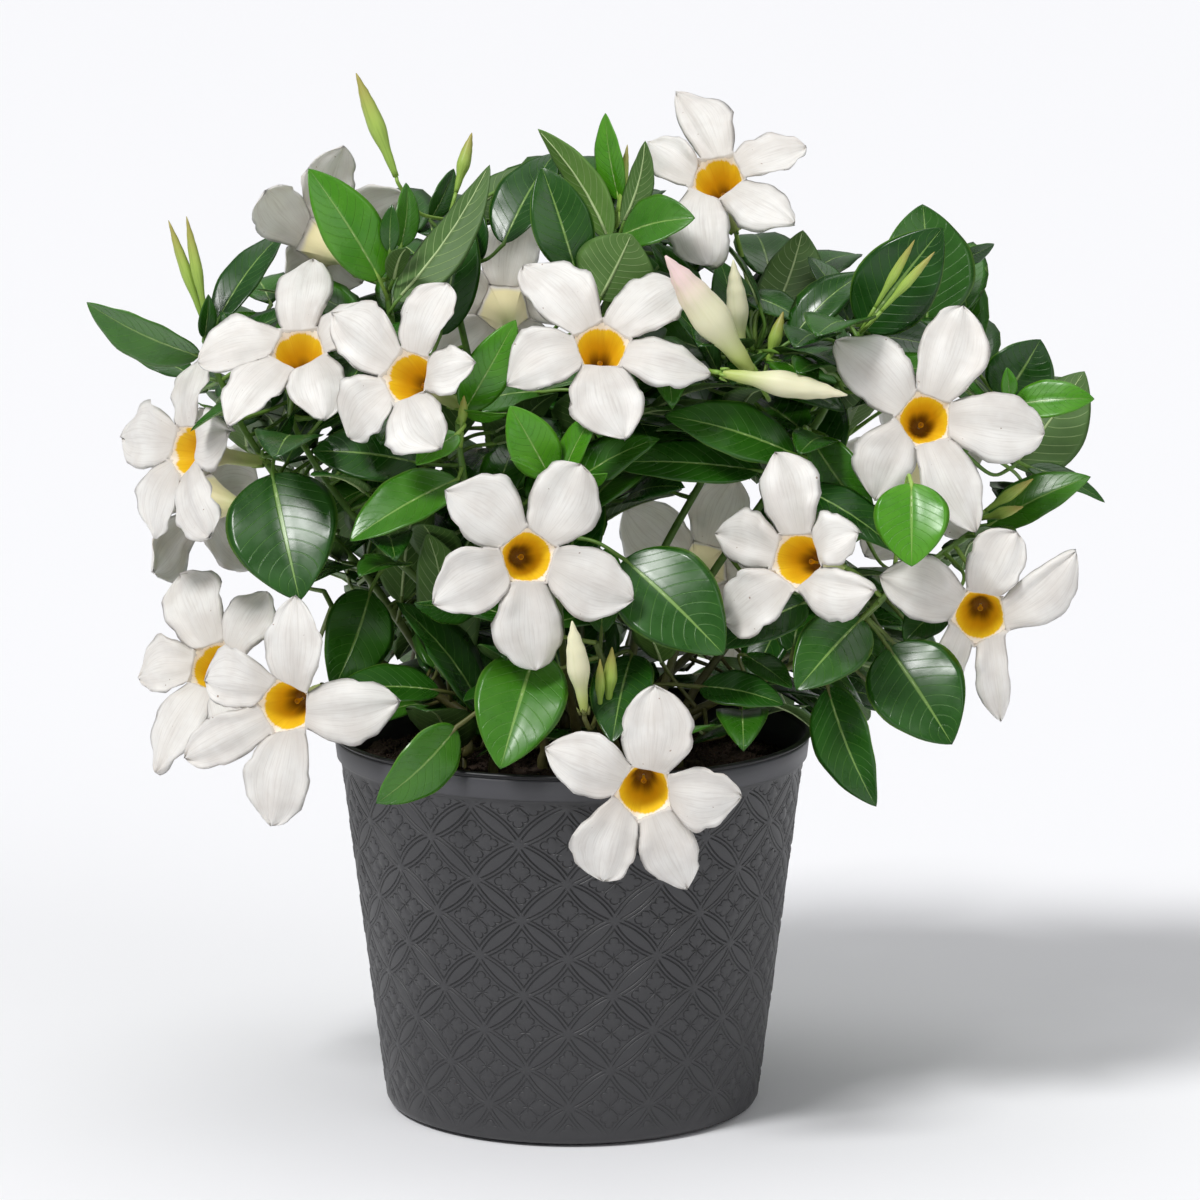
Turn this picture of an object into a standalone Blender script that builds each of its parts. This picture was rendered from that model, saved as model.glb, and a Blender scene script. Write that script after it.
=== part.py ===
"""White mandevilla in a moulded planter: pot, soil, leafy shoots, blooms, throats and buds."""

import math
import random

import bmesh
import bpy
import numpy as np
from mathutils import Matrix, Vector
from mathutils.bvhtree import BVHTree

# Lengths are millimetres until a mesh is made.
MM = 0.001

# Planter
POT_HEIGHT = 190.0
RIM_RADIUS = 120.0
WALL_FOOT_RADIUS = 93.5
WALL_FLARE = 0.1254
BAND_BOTTOM = 177.0
BAND_TOP = 187.0
WALL = 2.6
FOOT_RADIUS = 88.0
FOOT_INNER_RADIUS = 79.0
BOSS_RADIUS = 57.0
CHANNEL_HEIGHT = 4.0
FLOOR = 3.0
NOTCH_COUNT = 4
NOTCH_FIRST_ANGLE = -128.0
NOTCH_WIDTH = 34.0
NOTCH_HEIGHT = 3.4
DRAIN_RADIUS = 6.0
DRAIN_FROM_AXIS = 69.0
POT_STEPS = 36

# Soil
SOIL_TOP = 176.0
SOIL_DIP = 2.5
SOIL_STEPS = 24
ROOT_DEPTH = 28.0
STEM_SPREAD = 58.0

# Clearances
GAP = 0.3
LEAF_GAP = 1.7
SLIVER = 0.004

# Leaves, flowers and stems
LEAF_THICK = 0.9
PETAL_THICK = 0.9
STALK_WIDTH = 2.3
BLADE_FULL = 2.62
STEM_FOOT_RADIUS = 2.6
STEM_TIP_RADIUS = 1.3
STALK_RADIUS = 1.2
CALYX_LENGTH = 5.0
TUBE_LENGTH = 44.0
TUBE_RADIUS = 2.9
NECK_BACK = 25.0
NECK_RADIUS = 3.6
THROAT_RADIUS = 12.0
SINUS_OUT = 3.5
SINUS_RISE = 1.0
LOBE_OVERLAP = 1.2
LINING_TOP = 1.2
LINING_BACK = 21.0
LONGEST_PETAL = 61.0
SEED = 7
ADDED_SEED = 1000

# Half widths from foot to tip, as shares of the lobe's own, of a pointed and of a blunt lobe
LOBE_PLACES = (0.0, 0.15, 0.3, 0.45, 0.6, 0.75, 0.88, 0.96, 1.0)
LEADING_POINTED = (0.45, 0.68, 0.79, 0.8, 0.72, 0.54, 0.31, 0.13, 0.0)
LEADING_BLUNT = (0.45, 0.68, 0.8, 0.86, 0.88, 0.84, 0.68, 0.4, 0.0)
TRAILING_POINTED = (0.45, 0.8, 1.01, 1.12, 1.07, 0.8, 0.42, 0.17, 0.0)
TRAILING_BLUNT = (0.45, 0.8, 1.01, 1.12, 1.1, 0.96, 0.7, 0.42, 0.0)

# A closed bud: places from foot to tip and the radius at each, as shares of its width
BUD_PLACES = (0.0, 0.2, 0.48, 0.8, 1.0)
BUD_SHARES = (0.17, 0.26, 0.5, 0.3, 0.04)

# The photograph's eye, seen from the middle of the rim band
EYE_ELEVATION = math.radians(11.4)
EYE_DISTANCE = 2400.0
VIEW_HEIGHT = 186.0
VIEW_OUT = Vector((0.0, -math.cos(EYE_ELEVATION), math.sin(EYE_ELEVATION)))
VIEW_UP = Vector((0.0, math.sin(EYE_ELEVATION), math.cos(EYE_ELEVATION)))
VIEW_CENTRE = Vector((0.0, 0.0, VIEW_HEIGHT))
EYE = VIEW_CENTRE + VIEW_OUT * EYE_DISTANCE

# Each shoot: foot angle and reach on the soil, then the points that it passes,
# as across, up and towards the eye from the middle of the rim band.
SHOOTS = {
    "left_high": (200, 1.0, [(-95, 70, 0), (-150, 132, 2), (-170, 165, 0), (-184, 198, 2)]),
    "left_mid": (215, 0.7, [(-62, 60, 30), (-108, 108, 38), (-131, 140, 34), (-141, 160, 20)]),
    "left_top": (180, 0.55, [(-45, 90, 5), (-78, 170, 14), (-90, 206, 22), (-92, 228, 26)]),
    "centre_left": (245, 0.6, [(-30, 50, 42), (-48, 105, 66), (-55, 135, 76), (-57, 157, 80)]),
    "top_back": (130, 0.5, [(-30, 100, -30), (-52, 190, -28), (-60, 230, -20), (-62, 258, -16)]),
    "crown": (60, 0.15, [(4, 90, 4), (13, 180, 12), (18, 222, 20), (21, 254, 24)]),
    "bud_branch": (20, 0.5, [(36, 70, 4), (72, 140, 10), (86, 170, 16), (92, 192, 18)]),
    "right_high": (350, 0.75, [(58, 60, 16), (112, 140, 26), (134, 176, 28), (147, 206, 30)]),
    "right_far": (15, 1.0, [(90, 60, -10), (170, 118, 0), (198, 144, 6), (216, 166, 10)]),
    "right_mid": (335, 1.0, [(88, 28, 12), (150, 66, 14), (182, 88, 16), (204, 104, 18)]),
    "right_low": (318, 0.9, [(66, 14, 46), (112, 36, 62), (140, 54, 70), (160, 72.6, 73.5)]),
    "front": (275, 0.45, [(-3, 30, 48), (-8, 76, 74), (-9, 104, 88), (-9, 124, 96)]),
    "front_low": (292, 0.95, [(14, 2, 64), (17, 18, 82), (16, 32, 92), (12, 46, 100)]),
    "left_low": (228, 1.0, [(-58, 14, 34), (-92, 34, 38), (-112, 52, 32), (-124, 72, 22)]),
    "back_left": (150, 0.95, [(-70, 40, -66), (-116, 88, -104), (-134, 116, -118), (-142, 140, -126)]),
    "back_mid": (95, 0.8, [(-6, 70, -78), (-10, 140, -128), (-12, 170, -142), (-14, 196, -150)]),
    "back_right": (50, 0.9, [(70, 50, -70), (112, 96, -112), (128, 124, -124), (138, 150, -130)]),
    "back_low": (80, 1.0, [(20, 14, -84), (28, 44, -136), (32, 60, -156), (34, 74, -170)]),
}

# Each bloom: the throat's place, where it faces (across, up, towards the eye),
# and its lobes as the angle and length at which each tip is seen.
BLOOMS = [
    ((73, 280, 20), (-0.22, 0.50, 0.84), ((116, 54), (22, 47), (-32, 45), (-97, 41), (150, 42))),
    ((15, 195, 88), (0.05, 0.48, 0.87), ((133, 57), (40, 50), (-11, 54), (-76, 45), (199, 48))),
    ((-83, 180, 98), (-0.52, 0.25, 0.82), ((140, 48), (67, 49), (12, 33), (-66, 37), (222, 42))),
    ((-137, 194, 50), (-0.10, 0.60, 0.78), ((81, 48), (186, 50), (228, 51), (-70, 36), (34, 43))),
    ((-194, 143, 30), (-0.80, 0.10, 0.58), ((169, 48), (88, 45), (250, 47), (-75, 44), (30, 20))),
    ((-124, 248, -22), (-0.40, 0.42, -0.80), ((140, 40), (79, 49), (30, 47), (-50, 26), (216, 26))),
    ((-180, 35, 12), (-0.45, 0.35, 0.82), ((111, 51), (53, 46), (189, 38), (242, 60), (-55, 40))),
    ((-144, 14, 74), (-0.36, -0.20, 0.91), ((85, 54), (2, 53), (-97, 60), (207, 56), (163, 42))),
    ((-22, 89, 132), (0.22, -0.04, 0.97), ((141, 50), (60, 51), (-22, 54), (-85, 54), (206, 50))),
    ((36, -29, 152), (0.00, -0.36, 0.93), ((84, 49), (-4, 46), (-67, 52), (245, 46), (158, 50))),
    ((112, 88, 112), (-0.52, 0.05, 0.85), ((100, 52), (163, 44), (222, 46), (-22, 40), (24, 31))),
    ((177, 158, 84), (0.06, 0.12, 0.99), ((71, 60), (138, 58), (238, 45), (-66, 60), (-6, 59))),
    ((204, 59, 82), (-0.10, -0.28, 0.95), ((66, 44), (34, 56), (-79, 53, 9), (244, 59, 10), (159, 52))),
    ((-186, 118, -104), (-0.80, 0.15, -0.58), ((90, 48), (162, 30), (234, 46), (306, 46), (18, 30))),
    ((-34, 214, -176), (-0.12, 0.40, -0.90), ((80, 50), (152, 50), (224, 52), (296, 48), (8, 50))),
    ((172, 130, -158), (0.52, 0.15, -0.84), ((96, 52), (168, 44), (240, 50), (312, 46), (24, 42))),
    ((66, 84, -204), (0.20, 0.05, -0.98), ((70, 52), (142, 54), (214, 50), (286, 54), (358, 52))),
]

# Large buds: foot, tip and greatest width. Their cream skins are pieces of their own.
CREAM_BUDS = [
    ((90, 181, 74), (47, 240, 106), 19),
    ((85, 190, 30), (81, 238, 40), 11),
    ((76, 181, 84), (138, 170, 94), 13),
    ((108, 216, 0), (133, 216, 4), 10),
    ((6, 12, 118), (0, 57, 134), 11),
]

# Green buds: foot, tip and greatest width
GREEN_BUDS = [
    ((-88, 280, 18), (-108, 332, 20), 9),
    ((-58, 272, -12), (-50, 302, -14), 7),
    ((-184, 206, 4), (-202, 258, 2), 6),
    ((-183, 208, 6), (-193, 260, 8), 6),
    ((98, 186, 24), (106, 212, 26), 7),
    ((152, 214, 64), (172, 248, 76), 5),
    ((155, 212, 66), (182, 242, 74), 5),
    ((207, 112, 34), (231, 128, 40), 6),
    ((205, 108, 36), (226, 114, 44), 6),
    ((18, 14, 106), (20, 44, 112), 7),
    ((14, 12, 108), (14, 38, 116), 5),
    ((-55, 152, 88), (-54, 170, 92), 5),
    ((24, 262, 26), (28, 296, 22), 5),
]

# Leaves that can be told apart in the photograph: foot, tip, width and turn about the midrib
LEAVES = [
    ((-150, 131, 52), (-136, 67, 78), 58, 4),
    ((-186, 190, 12), (-243, 217, 22), 34, -48),
    ((-190, 180, -4), (-221, 192, -16), 18, 38),
    ((-178, 206, -8), (-144, 252, -34), 24, -40),
    ((-184, 199, 8), (-182, 221, 18), 10, 20),
    ((-96, 228, 32), (-132, 284, 46), 33, 16),
    ((-88, 217, 40), (-41, 286, 24), 32, 138),
    ((-66, 200, 4), (-55, 265, -12), 29, 12),
    ((-47, 236, -14), (-50, 270, -22), 19, -24),
    ((-71, 258, -18), (-59, 284, -26), 14, 30),
    ((-58, 258, -26), (-22, 286, -46), 28, 150),
    ((-34, 246, -12), (-8, 292, -36), 34, -36),
    ((2, 232, 44), (-15, 285, 46), 32, 8),
    ((19, 248, 30), (-17, 304, 22), 24, 142),
    ((24, 268, 28), (17, 312, 30), 18, -34),
    ((26, 256, 34), (37, 298, 48), 20, 140),
    ((25, 250, 38), (62, 259, 62), 32, -38),
    ((14, 218, 40), (30, 251, 50), 44, 172),
    ((102, 212, 12), (116, 253, -10), 36, 156),
    ((88, 220, 10), (116, 207, 22), 20, -44),
    ((84, 196, -8), (74, 238, -14), 26, 24),
    ((146, 203, 40), (186, 254, 58), 43, -8),
    ((178, 206, 14), (176, 266, 6), 50, 14),
    ((192, 238, -8), (212, 246, -12), 12, 40),
    ((147, 200, 26), (190, 192, 44), 30, -46),
    ((216, 168, 8), (235, 198, 22), 38, 18),
    ((221, 165, 26), (262, 168, 36), 22, -24),
    ((219, 168, 32), (218, 184, 38), 9, 20),
    ((221, 134, -12), (257, 182, -20), 44, 166),
    ((208, 104, 22), (260, 129, 32), 28, -32),
    ((228, 134, 2), (267, 116, 10), 16, -50),
    ((212, 112, -8), (246, 121, -12), 20, -40),
    ((170, 126, 92), (170, 84, 102), 38, 0),
    ((121, 147, 58), (153, 105, 72), 34, 28),
    ((113, 124, 70), (165, 90, 84), 30, -46),
    ((117, 66, 100), (75, 43, 112), 32, 36),
    ((145, 58, 86), (112, 22, 108), 36, 14),
    ((158, 44, 70), (190, -5, 88), 50, -10),
    ((128, 24, 74), (152, -36, 86), 36, 34),
    ((189, 66, 56), (166, 46, 62), 24, 30),
    ((26, 88, 96), (76, 40, 116), 50, -14),
    ((64, 24, 82), (106, 15, 96), 26, -44),
    ((86, 40, 68), (110, 23, 84), 18, -40),
    ((-18, 42, 104), (-36, -17, 130), 46, 6),
    ((30, 40, 84), (20, -4, 122), 32, 18),
    ((-58, 4, 112), (-98, -34, 122), 32, -30),
    ((-66, 22, 70), (-120, 21, 80), 28, 44),
    ((-101, 72, 36), (-120, 22, 54), 38, -20),
    ((-57, 128, 84), (-111, 97, 98), 34, 40),
    ((-77, 136, 62), (-130, 142, 62), 34, 26),
    ((-57, 151, 98), (-78, 135, 108), 18, 36),
    ((-54, 162, 78), (-28, 208, 88), 24, 6),
    ((-55, 162, 88), (-32, 161, 98), 12, 60),
    ((-11, 129, 96), (-31, 165, 106), 26, 6),
    ((-5, 128, 98), (13, 163, 110), 18, -38),
    ((-10, 125, 106), (-31, 138, 140), 12, 64),
    ((-2, 126, 102), (18, 131, 116), 13, 50),
    ((-42, 68, 96), (-79, 66, 112), 26, -54),
    ((112, 140, 66), (46, 160, 74), 34, 36),
    ((94, 132, 58), (15, 136, 58), 28, 36),
    ((-147, 174, 44), (-191, 152, 62), 20, 76),
    ((-155, 142, 24), (-139, 163, 22), 14, 70),
    ((-91, 242, 34), (-90, 266, 38), 11, -16),
    ((-86, 244, 22), (-83, 277, 18), 17, 36),
]

# The plant's outline as the eye sees it, across and up. Added leaves stay inside it.
OUTLINE = [
    (-190, 190), (-180, 218), (-148, 250), (-120, 266), (-86, 284), (-50, 292), (-6, 296),
    (34, 300), (64, 268), (118, 250), (144, 240), (164, 260), (204, 254), (214, 218), (244, 188),
    (262, 158), (254, 122), (234, 102), (196, 88), (190, 48), (194, 8), (154, -4), (124, -14),
    (112, -2), (78, -16), (-6, -20), (-60, -26), (-100, -10), (-120, 22), (-110, 68), (-160, 72),
    (-178, 108), (-190, 150),
]

ADDED_LEAVES = 40
LEAF_ROWS = (0.2, 0.5, 0.8)
SMALL_LEAF_ROWS = (0.3, 0.68)
SMALL_LEAF = 64.0
LOBE_LAG = 0.1
ROOM_ROUNDS = 14
ROOM_PLACES = (0.3, 0.42)
ROOM_ANGLE = 0.0
PETAL_ROWS = (0.42, 0.75)

# Moves towards the eye and tilts of the tip that a leaf tries until it is clear
LEAF_TRIES = (
    (0, 0), (4, 0), (-4, 0), (8, 0), (-8, 0), (0, 8), (0, -8), (12, 0), (-12, 0),
    (5, 12), (-5, 12), (5, -12), (-5, -12), (17, 0), (-17, 0), (24, 6), (-24, -6),
)


def seen(place):
    """The point that the eye sees across and up from the rim, this far towards it."""
    across, up, toward = place
    flat = VIEW_CENTRE + Vector((across, 0.0, 0.0)) + VIEW_UP * up
    return EYE + (flat - EYE) * ((EYE_DISTANCE - toward) / EYE_DISTANCE)


def seen_direction(parts):
    across, up, toward = parts
    return (Vector((across, 0.0, 0.0)) + VIEW_UP * up + VIEW_OUT * toward).normalized()


def as_seen(point):
    """Where the eye sees a point, across and up from the middle of the rim band."""
    ray = point - EYE
    ray *= EYE_DISTANCE / -ray.dot(VIEW_OUT)
    flat = EYE + ray - VIEW_CENTRE
    return flat.x, flat.dot(VIEW_UP)


def inside_outline(point):
    x, y = as_seen(point)
    inside = False
    for (x0, y0), (x1, y1) in zip(OUTLINE, OUTLINE[1:] + OUTLINE[:1]):
        if (y0 > y) != (y1 > y) and x < x0 + (x1 - x0) * (y - y0) / (y1 - y0):
            inside = not inside
    return inside


def smooth_path(points, count):
    """Points along a smooth curve through the given ones."""
    ends = [points[0] * 2 - points[1]] + list(points) + [points[-1] * 2 - points[-2]]
    path = []
    for step in range(count):
        place = step / (count - 1) * (len(points) - 1)
        i = min(int(place), len(points) - 2)
        t = place - i
        a, b, c, d = ends[i : i + 4]
        path.append(
            0.5 * (2 * b + (c - a) * t + (2 * a - 5 * b + 4 * c - d) * t**2 + (3 * b - a - 3 * c + d) * t**3)
        )
    return path


def bent_path(start, end, end_direction, count, straight=0.0):
    """A stalk that leaves its stem, bends and arrives along end_direction, the last of it straight."""
    turned = end - end_direction * straight
    middle = turned - end_direction * (turned - start).length * 0.45
    points = []
    for i in range(count):
        t = i / (count - 1)
        points.append(start * (1 - t) ** 2 + middle * 2 * t * (1 - t) + turned * t**2)
    return points + ([end] if straight else [])


class Space:
    """What is already placed, so that each new piece is bent clear of it."""

    def __init__(self):
        self.sheets = []
        self.rods = []
        self.gap = LEAF_GAP

    def add_sheet(self, points, triangles):
        tree = BVHTree.FromPolygons(points, triangles)
        self.sheets.append((tree, box_of(points), probes_of(points, triangles)))

    def add_rod(self, points, radius, owner):
        self.rods.append((np.array(points), box_of(points), radius, owner))

    def sheet_is_clear(self, points, triangles, owner):
        tree = BVHTree.FromPolygons(points, triangles)
        box = box_of(points)
        probes = probes_of(points, triangles)
        for other, other_box, other_probes in self.sheets:
            if apart(box, other_box, self.gap):
                continue
            if tree.overlap(other) or near(other, probes, self.gap) or near(tree, other_probes, self.gap):
                return False
        for rod, rod_box, radius, rod_owner in self.rods:
            if rod_owner == owner or apart(box, rod_box, radius + self.gap):
                continue
            if near(tree, rod, radius + self.gap):
                return False
        return True

    def rod_is_clear(self, points, radius, owner):
        box = box_of(points)
        for tree, other_box, _ in self.sheets:
            if not apart(box, other_box, radius + self.gap) and near(tree, points, radius + self.gap):
                return False
        rows = np.array(points)
        for rod, rod_box, rod_radius, rod_owner in self.rods:
            reach = radius + rod_radius + self.gap
            if rod_owner == owner or apart(box, rod_box, reach):
                continue
            if np.min(np.linalg.norm(rows[:, None] - rod[None], axis=2)) < reach:
                return False
        return True


def box_of(points):
    rows = np.array(points)
    return rows.min(axis=0), rows.max(axis=0)


def apart(a, b, gap):
    return bool(np.any(a[0] > b[1] + gap) or np.any(b[0] > a[1] + gap))


def near(tree, probes, distance):
    for probe in probes:
        if tree.find_nearest(Vector(probe), distance)[0] is not None:
            return True
    return False


def probes_of(points, triangles):
    probes = list(points)
    for a, b, c in triangles:
        probes.append((points[a] + points[b] + points[c]) / 3)
        probes.append((points[a] + points[b]) / 2)
        probes.append((points[b] + points[c]) / 2)
        probes.append((points[c] + points[a]) / 2)
    return probes


def dense(points, step=3.0):
    """The same broken line with a point every few millimetres."""
    line = [points[0]]
    for a, b in zip(points, points[1:]):
        parts = max(1, int((b - a).length / step))
        line.extend(a.lerp(b, (i + 1) / parts) for i in range(parts))
    return line


class Leaf:
    """One blade: its frame, its size and the ways that it bends."""

    def __init__(self, base, tip, width, turn, facing, arch=0.07, fold=0.16, seed=0):
        draw = random.Random(seed)
        self.base = base
        self.along = (tip - base).normalized()
        self.length = (tip - base).length
        self.width = width
        flat = (facing - self.along * facing.dot(self.along)).normalized()
        self.normal = Matrix.Rotation(math.radians(turn), 3, self.along) @ flat
        self.side = self.along.cross(self.normal)
        self.arch = arch * draw.uniform(0.7, 1.3)
        self.fold = fold * draw.uniform(0.6, 1.3)
        self.wave = draw.uniform(0.0, 2 * math.pi)
        self.twist = draw.uniform(-0.25, 0.25)

    def half_width(self, u):
        return self.width * 0.5 * BLADE_FULL * u**0.62 * (1 - u) ** 0.86

    def point(self, u, v):
        """The blade's surface: u runs from foot to tip, v from edge to edge."""
        half = self.half_width(u)
        turn = self.twist * (u - 0.3)
        side = self.side * math.cos(turn) + self.normal * math.sin(turn)
        lift = self.arch * self.length * 4 * u * (1 - u) + self.fold * half * abs(v) ** 1.4
        ripple = 0.05 * half * v * abs(v) * math.sin(5.0 * u + self.wave)
        return self.base + self.along * (self.length * u) + side * (half * v) + self.normal * (lift + ripple)


def blade_sheet(leaf):
    """The blade's middle surface as points and triangles, three points to a row."""
    rows = SMALL_LEAF_ROWS if leaf.length < SMALL_LEAF else LEAF_ROWS
    points = [leaf.point(0.0, 0.0)]
    for u in rows:
        points.extend(leaf.point(u, v) for v in (-1, 0, 1))
    points.append(leaf.point(1.0, 0.0))
    triangles = [(0, 2, 1), (0, 3, 2)]
    for row in range(len(rows) - 1):
        first = 1 + 3 * row
        for i in (first, first + 1):
            triangles.extend([(i, i + 1, i + 4), (i, i + 4, i + 3)])
    last = len(points) - 1
    triangles.extend([(last - 3, last - 2, last), (last - 2, last - 1, last)])
    return points, triangles


def leaf_surface(leaf, stalk):
    """The blade with its stalk as a narrow strap, as points and triangles."""
    points, triangles = blade_sheet(leaf)
    points = points[1:]
    triangles = [tuple(i - 1 for i in t) for t in triangles if 0 not in t]
    strap = []
    for i, place in enumerate(stalk):
        ahead = stalk[min(i + 1, len(stalk) - 1)] - stalk[max(i - 1, 0)]
        across = ahead.cross(leaf.normal)
        if across.length < 0.2 * ahead.length:
            across = leaf.side * ahead.length
        across = across.normalized() * STALK_WIDTH / 2
        strap.append(len(points))
        points.extend([place - across, place + across])
    for a, b in zip(strap, strap[1:]):
        triangles.extend([(a, a + 1, b + 1), (a, b + 1, b)])
    a = strap[-1]
    triangles.extend([(a, 1, 0), (a, a + 1, 1), (a + 1, 2, 1)])
    return points, triangles


class Bloom:
    """One corolla: a tube, a funnel and five lobes that turn like a pinwheel."""

    def __init__(self, place, facing, tips, seed):
        draw = random.Random(seed)
        self.throat = seen(place)
        self.axis = seen_direction(facing)
        view = (EYE - self.throat).normalized()
        reached = []
        for angle, length, *half in tips:
            turn = math.radians(angle)
            sight = Vector((math.cos(turn), 0.0, 0.0)) + VIEW_UP * math.sin(turn)
            slope = -sight.dot(self.axis) / view.dot(self.axis)
            flat = (sight + view * slope) * length
            reached.append((flat * min(1.0, LONGEST_PETAL / flat.length), half))
        self.across = reached[0][0].normalized()
        self.up = self.axis.cross(self.across)
        reached.sort(key=lambda end: self.turn_about(end[0]))
        skew = sum(self.turn_about(end[0]) - 2 * math.pi * i / 5 for i, end in enumerate(reached)) / 5
        self.lobes = [self.lobe(2 * math.pi * i / 5 + skew - LOBE_LAG, *end, draw) for i, end in enumerate(reached)]
        for _ in range(ROOM_ROUNDS):
            self.give_room()

    def turn_about(self, spoke):
        """The angle of a direction about the flower's axis."""
        return math.atan2(spoke.dot(self.up), spoke.dot(self.across)) % (2 * math.pi)

    def lobe(self, angle, tip, half, draw):
        full = draw.uniform(17.0, 20.5)
        return {
            "angle": angle,
            "tip": tip,
            "half": half[0] if half else full,
            "bow": draw.uniform(2.0, 5.0),
            "reflex": draw.uniform(-7.0, 1.0),
            "cup": draw.uniform(-3.0, 2.0),
            "wave": draw.uniform(0.0, 2 * math.pi),
            "blunt": draw.random() ** 1.5,
            "trailing": 1.0,
            "leading": 1.0,
        }

    def turn_of(self, lobe, u, v):
        """The angle about the flower's axis of a place on a lobe."""
        return self.turn_about(self.lobe_point(lobe, u, v) - self.throat)

    def give_room(self):
        """Narrows the sides of neighbouring lobes that would pass through one another."""
        for lobe, after in zip(self.lobes, self.lobes[1:] + self.lobes[:1]):
            apart = [self.turn_of(after, u, -1) - self.turn_of(lobe, u, 1) for u in ROOM_PLACES]
            if min((turn + math.pi) % (2 * math.pi) - math.pi for turn in apart) < ROOM_ANGLE:
                lobe["leading"] *= 0.94
                after["trailing"] *= 0.94

    def ring_point(self, back, radius, angle):
        spoke = self.across * math.cos(angle) + self.up * math.sin(angle)
        return self.throat - self.axis * back + spoke * radius

    def mouth_point(self, angle, v):
        """The funnel's mouth below one lobe, wider where it meets the next."""
        out = abs(v) ** 3
        return self.ring_point(-SINUS_RISE * out, THROAT_RADIUS + SINUS_OUT * out, angle + v * math.pi / 5)

    def lobe_point(self, lobe, u, v):
        """The lobe's surface: u runs from the mouth to the tip, v from trailing to leading edge."""
        start = self.mouth_point(lobe["angle"], 0.0) - self.throat
        mouth = self.mouth_point(lobe["angle"], v) - self.throat
        side = self.axis.cross((lobe["tip"] - start).normalized())
        share = lobe_share(u, v, lobe["blunt"]) * lobe["trailing" if v < 0 else "leading"]
        fade = (1 - u) ** 6
        lift = lobe["bow"] * math.sin(math.pi * u) + lobe["reflex"] * u * u
        lift += (lobe["cup"] * v * v + 1.6 * v * abs(v) * math.sin(6 * u + lobe["wave"])) * share
        lift -= LOBE_OVERLAP * v * math.sin(math.pi * min(1.0, 1.6 * u))
        flat = (start.lerp(lobe["tip"], u) + side * (lobe["half"] * share * v)) * (1 - fade) + mouth * fade
        return self.throat + flat + self.axis * lift * (1 - fade)


def lobe_share(u, v, blunt):
    """The half width at a place, as a share of the lobe's own, between a pointed and a blunt lobe's."""
    pointed, rounded = (LEADING_POINTED, LEADING_BLUNT) if v > 0 else (TRAILING_POINTED, TRAILING_BLUNT)
    return (1 - blunt) * np.interp(u, LOBE_PLACES, pointed) + blunt * np.interp(u, LOBE_PLACES, rounded)


def bloom_surface(bloom):
    """Tube, funnel and lobes as one open surface."""
    points = []
    triangles = []
    for back, radius in ((TUBE_LENGTH, TUBE_RADIUS), (NECK_BACK, NECK_RADIUS)):
        for lobe in bloom.lobes:
            points.append(bloom.ring_point(back, radius, lobe["angle"]))
    for lobe in bloom.lobes:
        points.append(bloom.mouth_point(lobe["angle"], -1.0))
        points.append(bloom.mouth_point(lobe["angle"], 0.0))
    for i in range(5):
        a, b = i, (i + 1) % 5
        triangles.extend([(a, b, b + 5), (a, b + 5, a + 5)])
        edge, middle, next_edge = 10 + 2 * i, 11 + 2 * i, 10 + (2 * i + 2) % 10
        triangles.extend([(a + 5, middle, edge), (a + 5, next_edge, middle), (a + 5, b + 5, next_edge)])
    for k, lobe in enumerate(bloom.lobes):
        row = [10 + 2 * k, 11 + 2 * k, 10 + (2 * k + 2) % 10]
        for u in PETAL_ROWS:
            new = [len(points) + i for i in range(3)]
            points.extend(bloom.lobe_point(lobe, u, v) for v in (-1, 0, 1))
            for i in range(2):
                triangles.extend([(row[i], row[i + 1], new[i + 1]), (row[i], new[i + 1], new[i])])
            row = new
        points.append(bloom.lobe_point(lobe, 1.0, 0.0))
        tip = len(points) - 1
        triangles.extend([(row[0], row[1], tip), (row[1], row[2], tip)])
    return points, triangles


def clear_scene():
    for obj in list(bpy.data.objects):
        bpy.data.objects.remove(obj, do_unlink=True)


def new_collection(name):
    collection = bpy.data.collections.new(name)
    bpy.context.scene.collection.children.link(collection)
    return collection


def material(name, colour, roughness, metallic=0.0):
    made = bpy.data.materials.new(name)
    made.use_nodes = True
    shader = made.node_tree.nodes["Principled BSDF"]
    shader.inputs["Base Color"].default_value = (*colour, 1.0)
    shader.inputs["Roughness"].default_value = roughness
    shader.inputs["Metallic"].default_value = metallic
    return made


def surface_object(name, points, triangles, thickness, collection):
    """An open surface given its thickness on both sides."""
    mesh = bpy.data.meshes.new(name)
    mesh.from_pydata([tuple(p * MM) for p in points], [], triangles)
    obj = bpy.data.objects.new(name, mesh)
    collection.objects.link(obj)
    solid = obj.modifiers.new("thickness", "SOLIDIFY")
    solid.thickness = thickness * MM
    solid.offset = 0.0
    return obj


def tube_object(name, points, radii, sides, collection):
    """A tapered tube along a broken line, as a mesh with welded caps."""
    curve = bpy.data.curves.new(name, "CURVE")
    curve.dimensions = "3D"
    curve.bevel_depth = MM
    curve.bevel_resolution = (sides - 4) // 2
    curve.use_fill_caps = True
    spline = curve.splines.new("POLY")
    spline.points.add(len(points) - 1)
    for knot, place, radius in zip(spline.points, points, radii):
        knot.co = (*(place * MM), 1.0)
        knot.radius = radius
    guide = bpy.data.objects.new(name + "_guide", curve)
    collection.objects.link(guide)
    graph = bpy.context.evaluated_depsgraph_get()
    mesh = bpy.data.meshes.new_from_object(guide.evaluated_get(graph))
    bpy.data.objects.remove(guide, do_unlink=True)
    weld = bmesh.new()
    weld.from_mesh(mesh)
    bmesh.ops.remove_doubles(weld, verts=weld.verts, dist=1e-6)
    weld.to_mesh(mesh)
    weld.free()
    mesh.name = name
    obj = bpy.data.objects.new(name, mesh)
    collection.objects.link(obj)
    return obj


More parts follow.
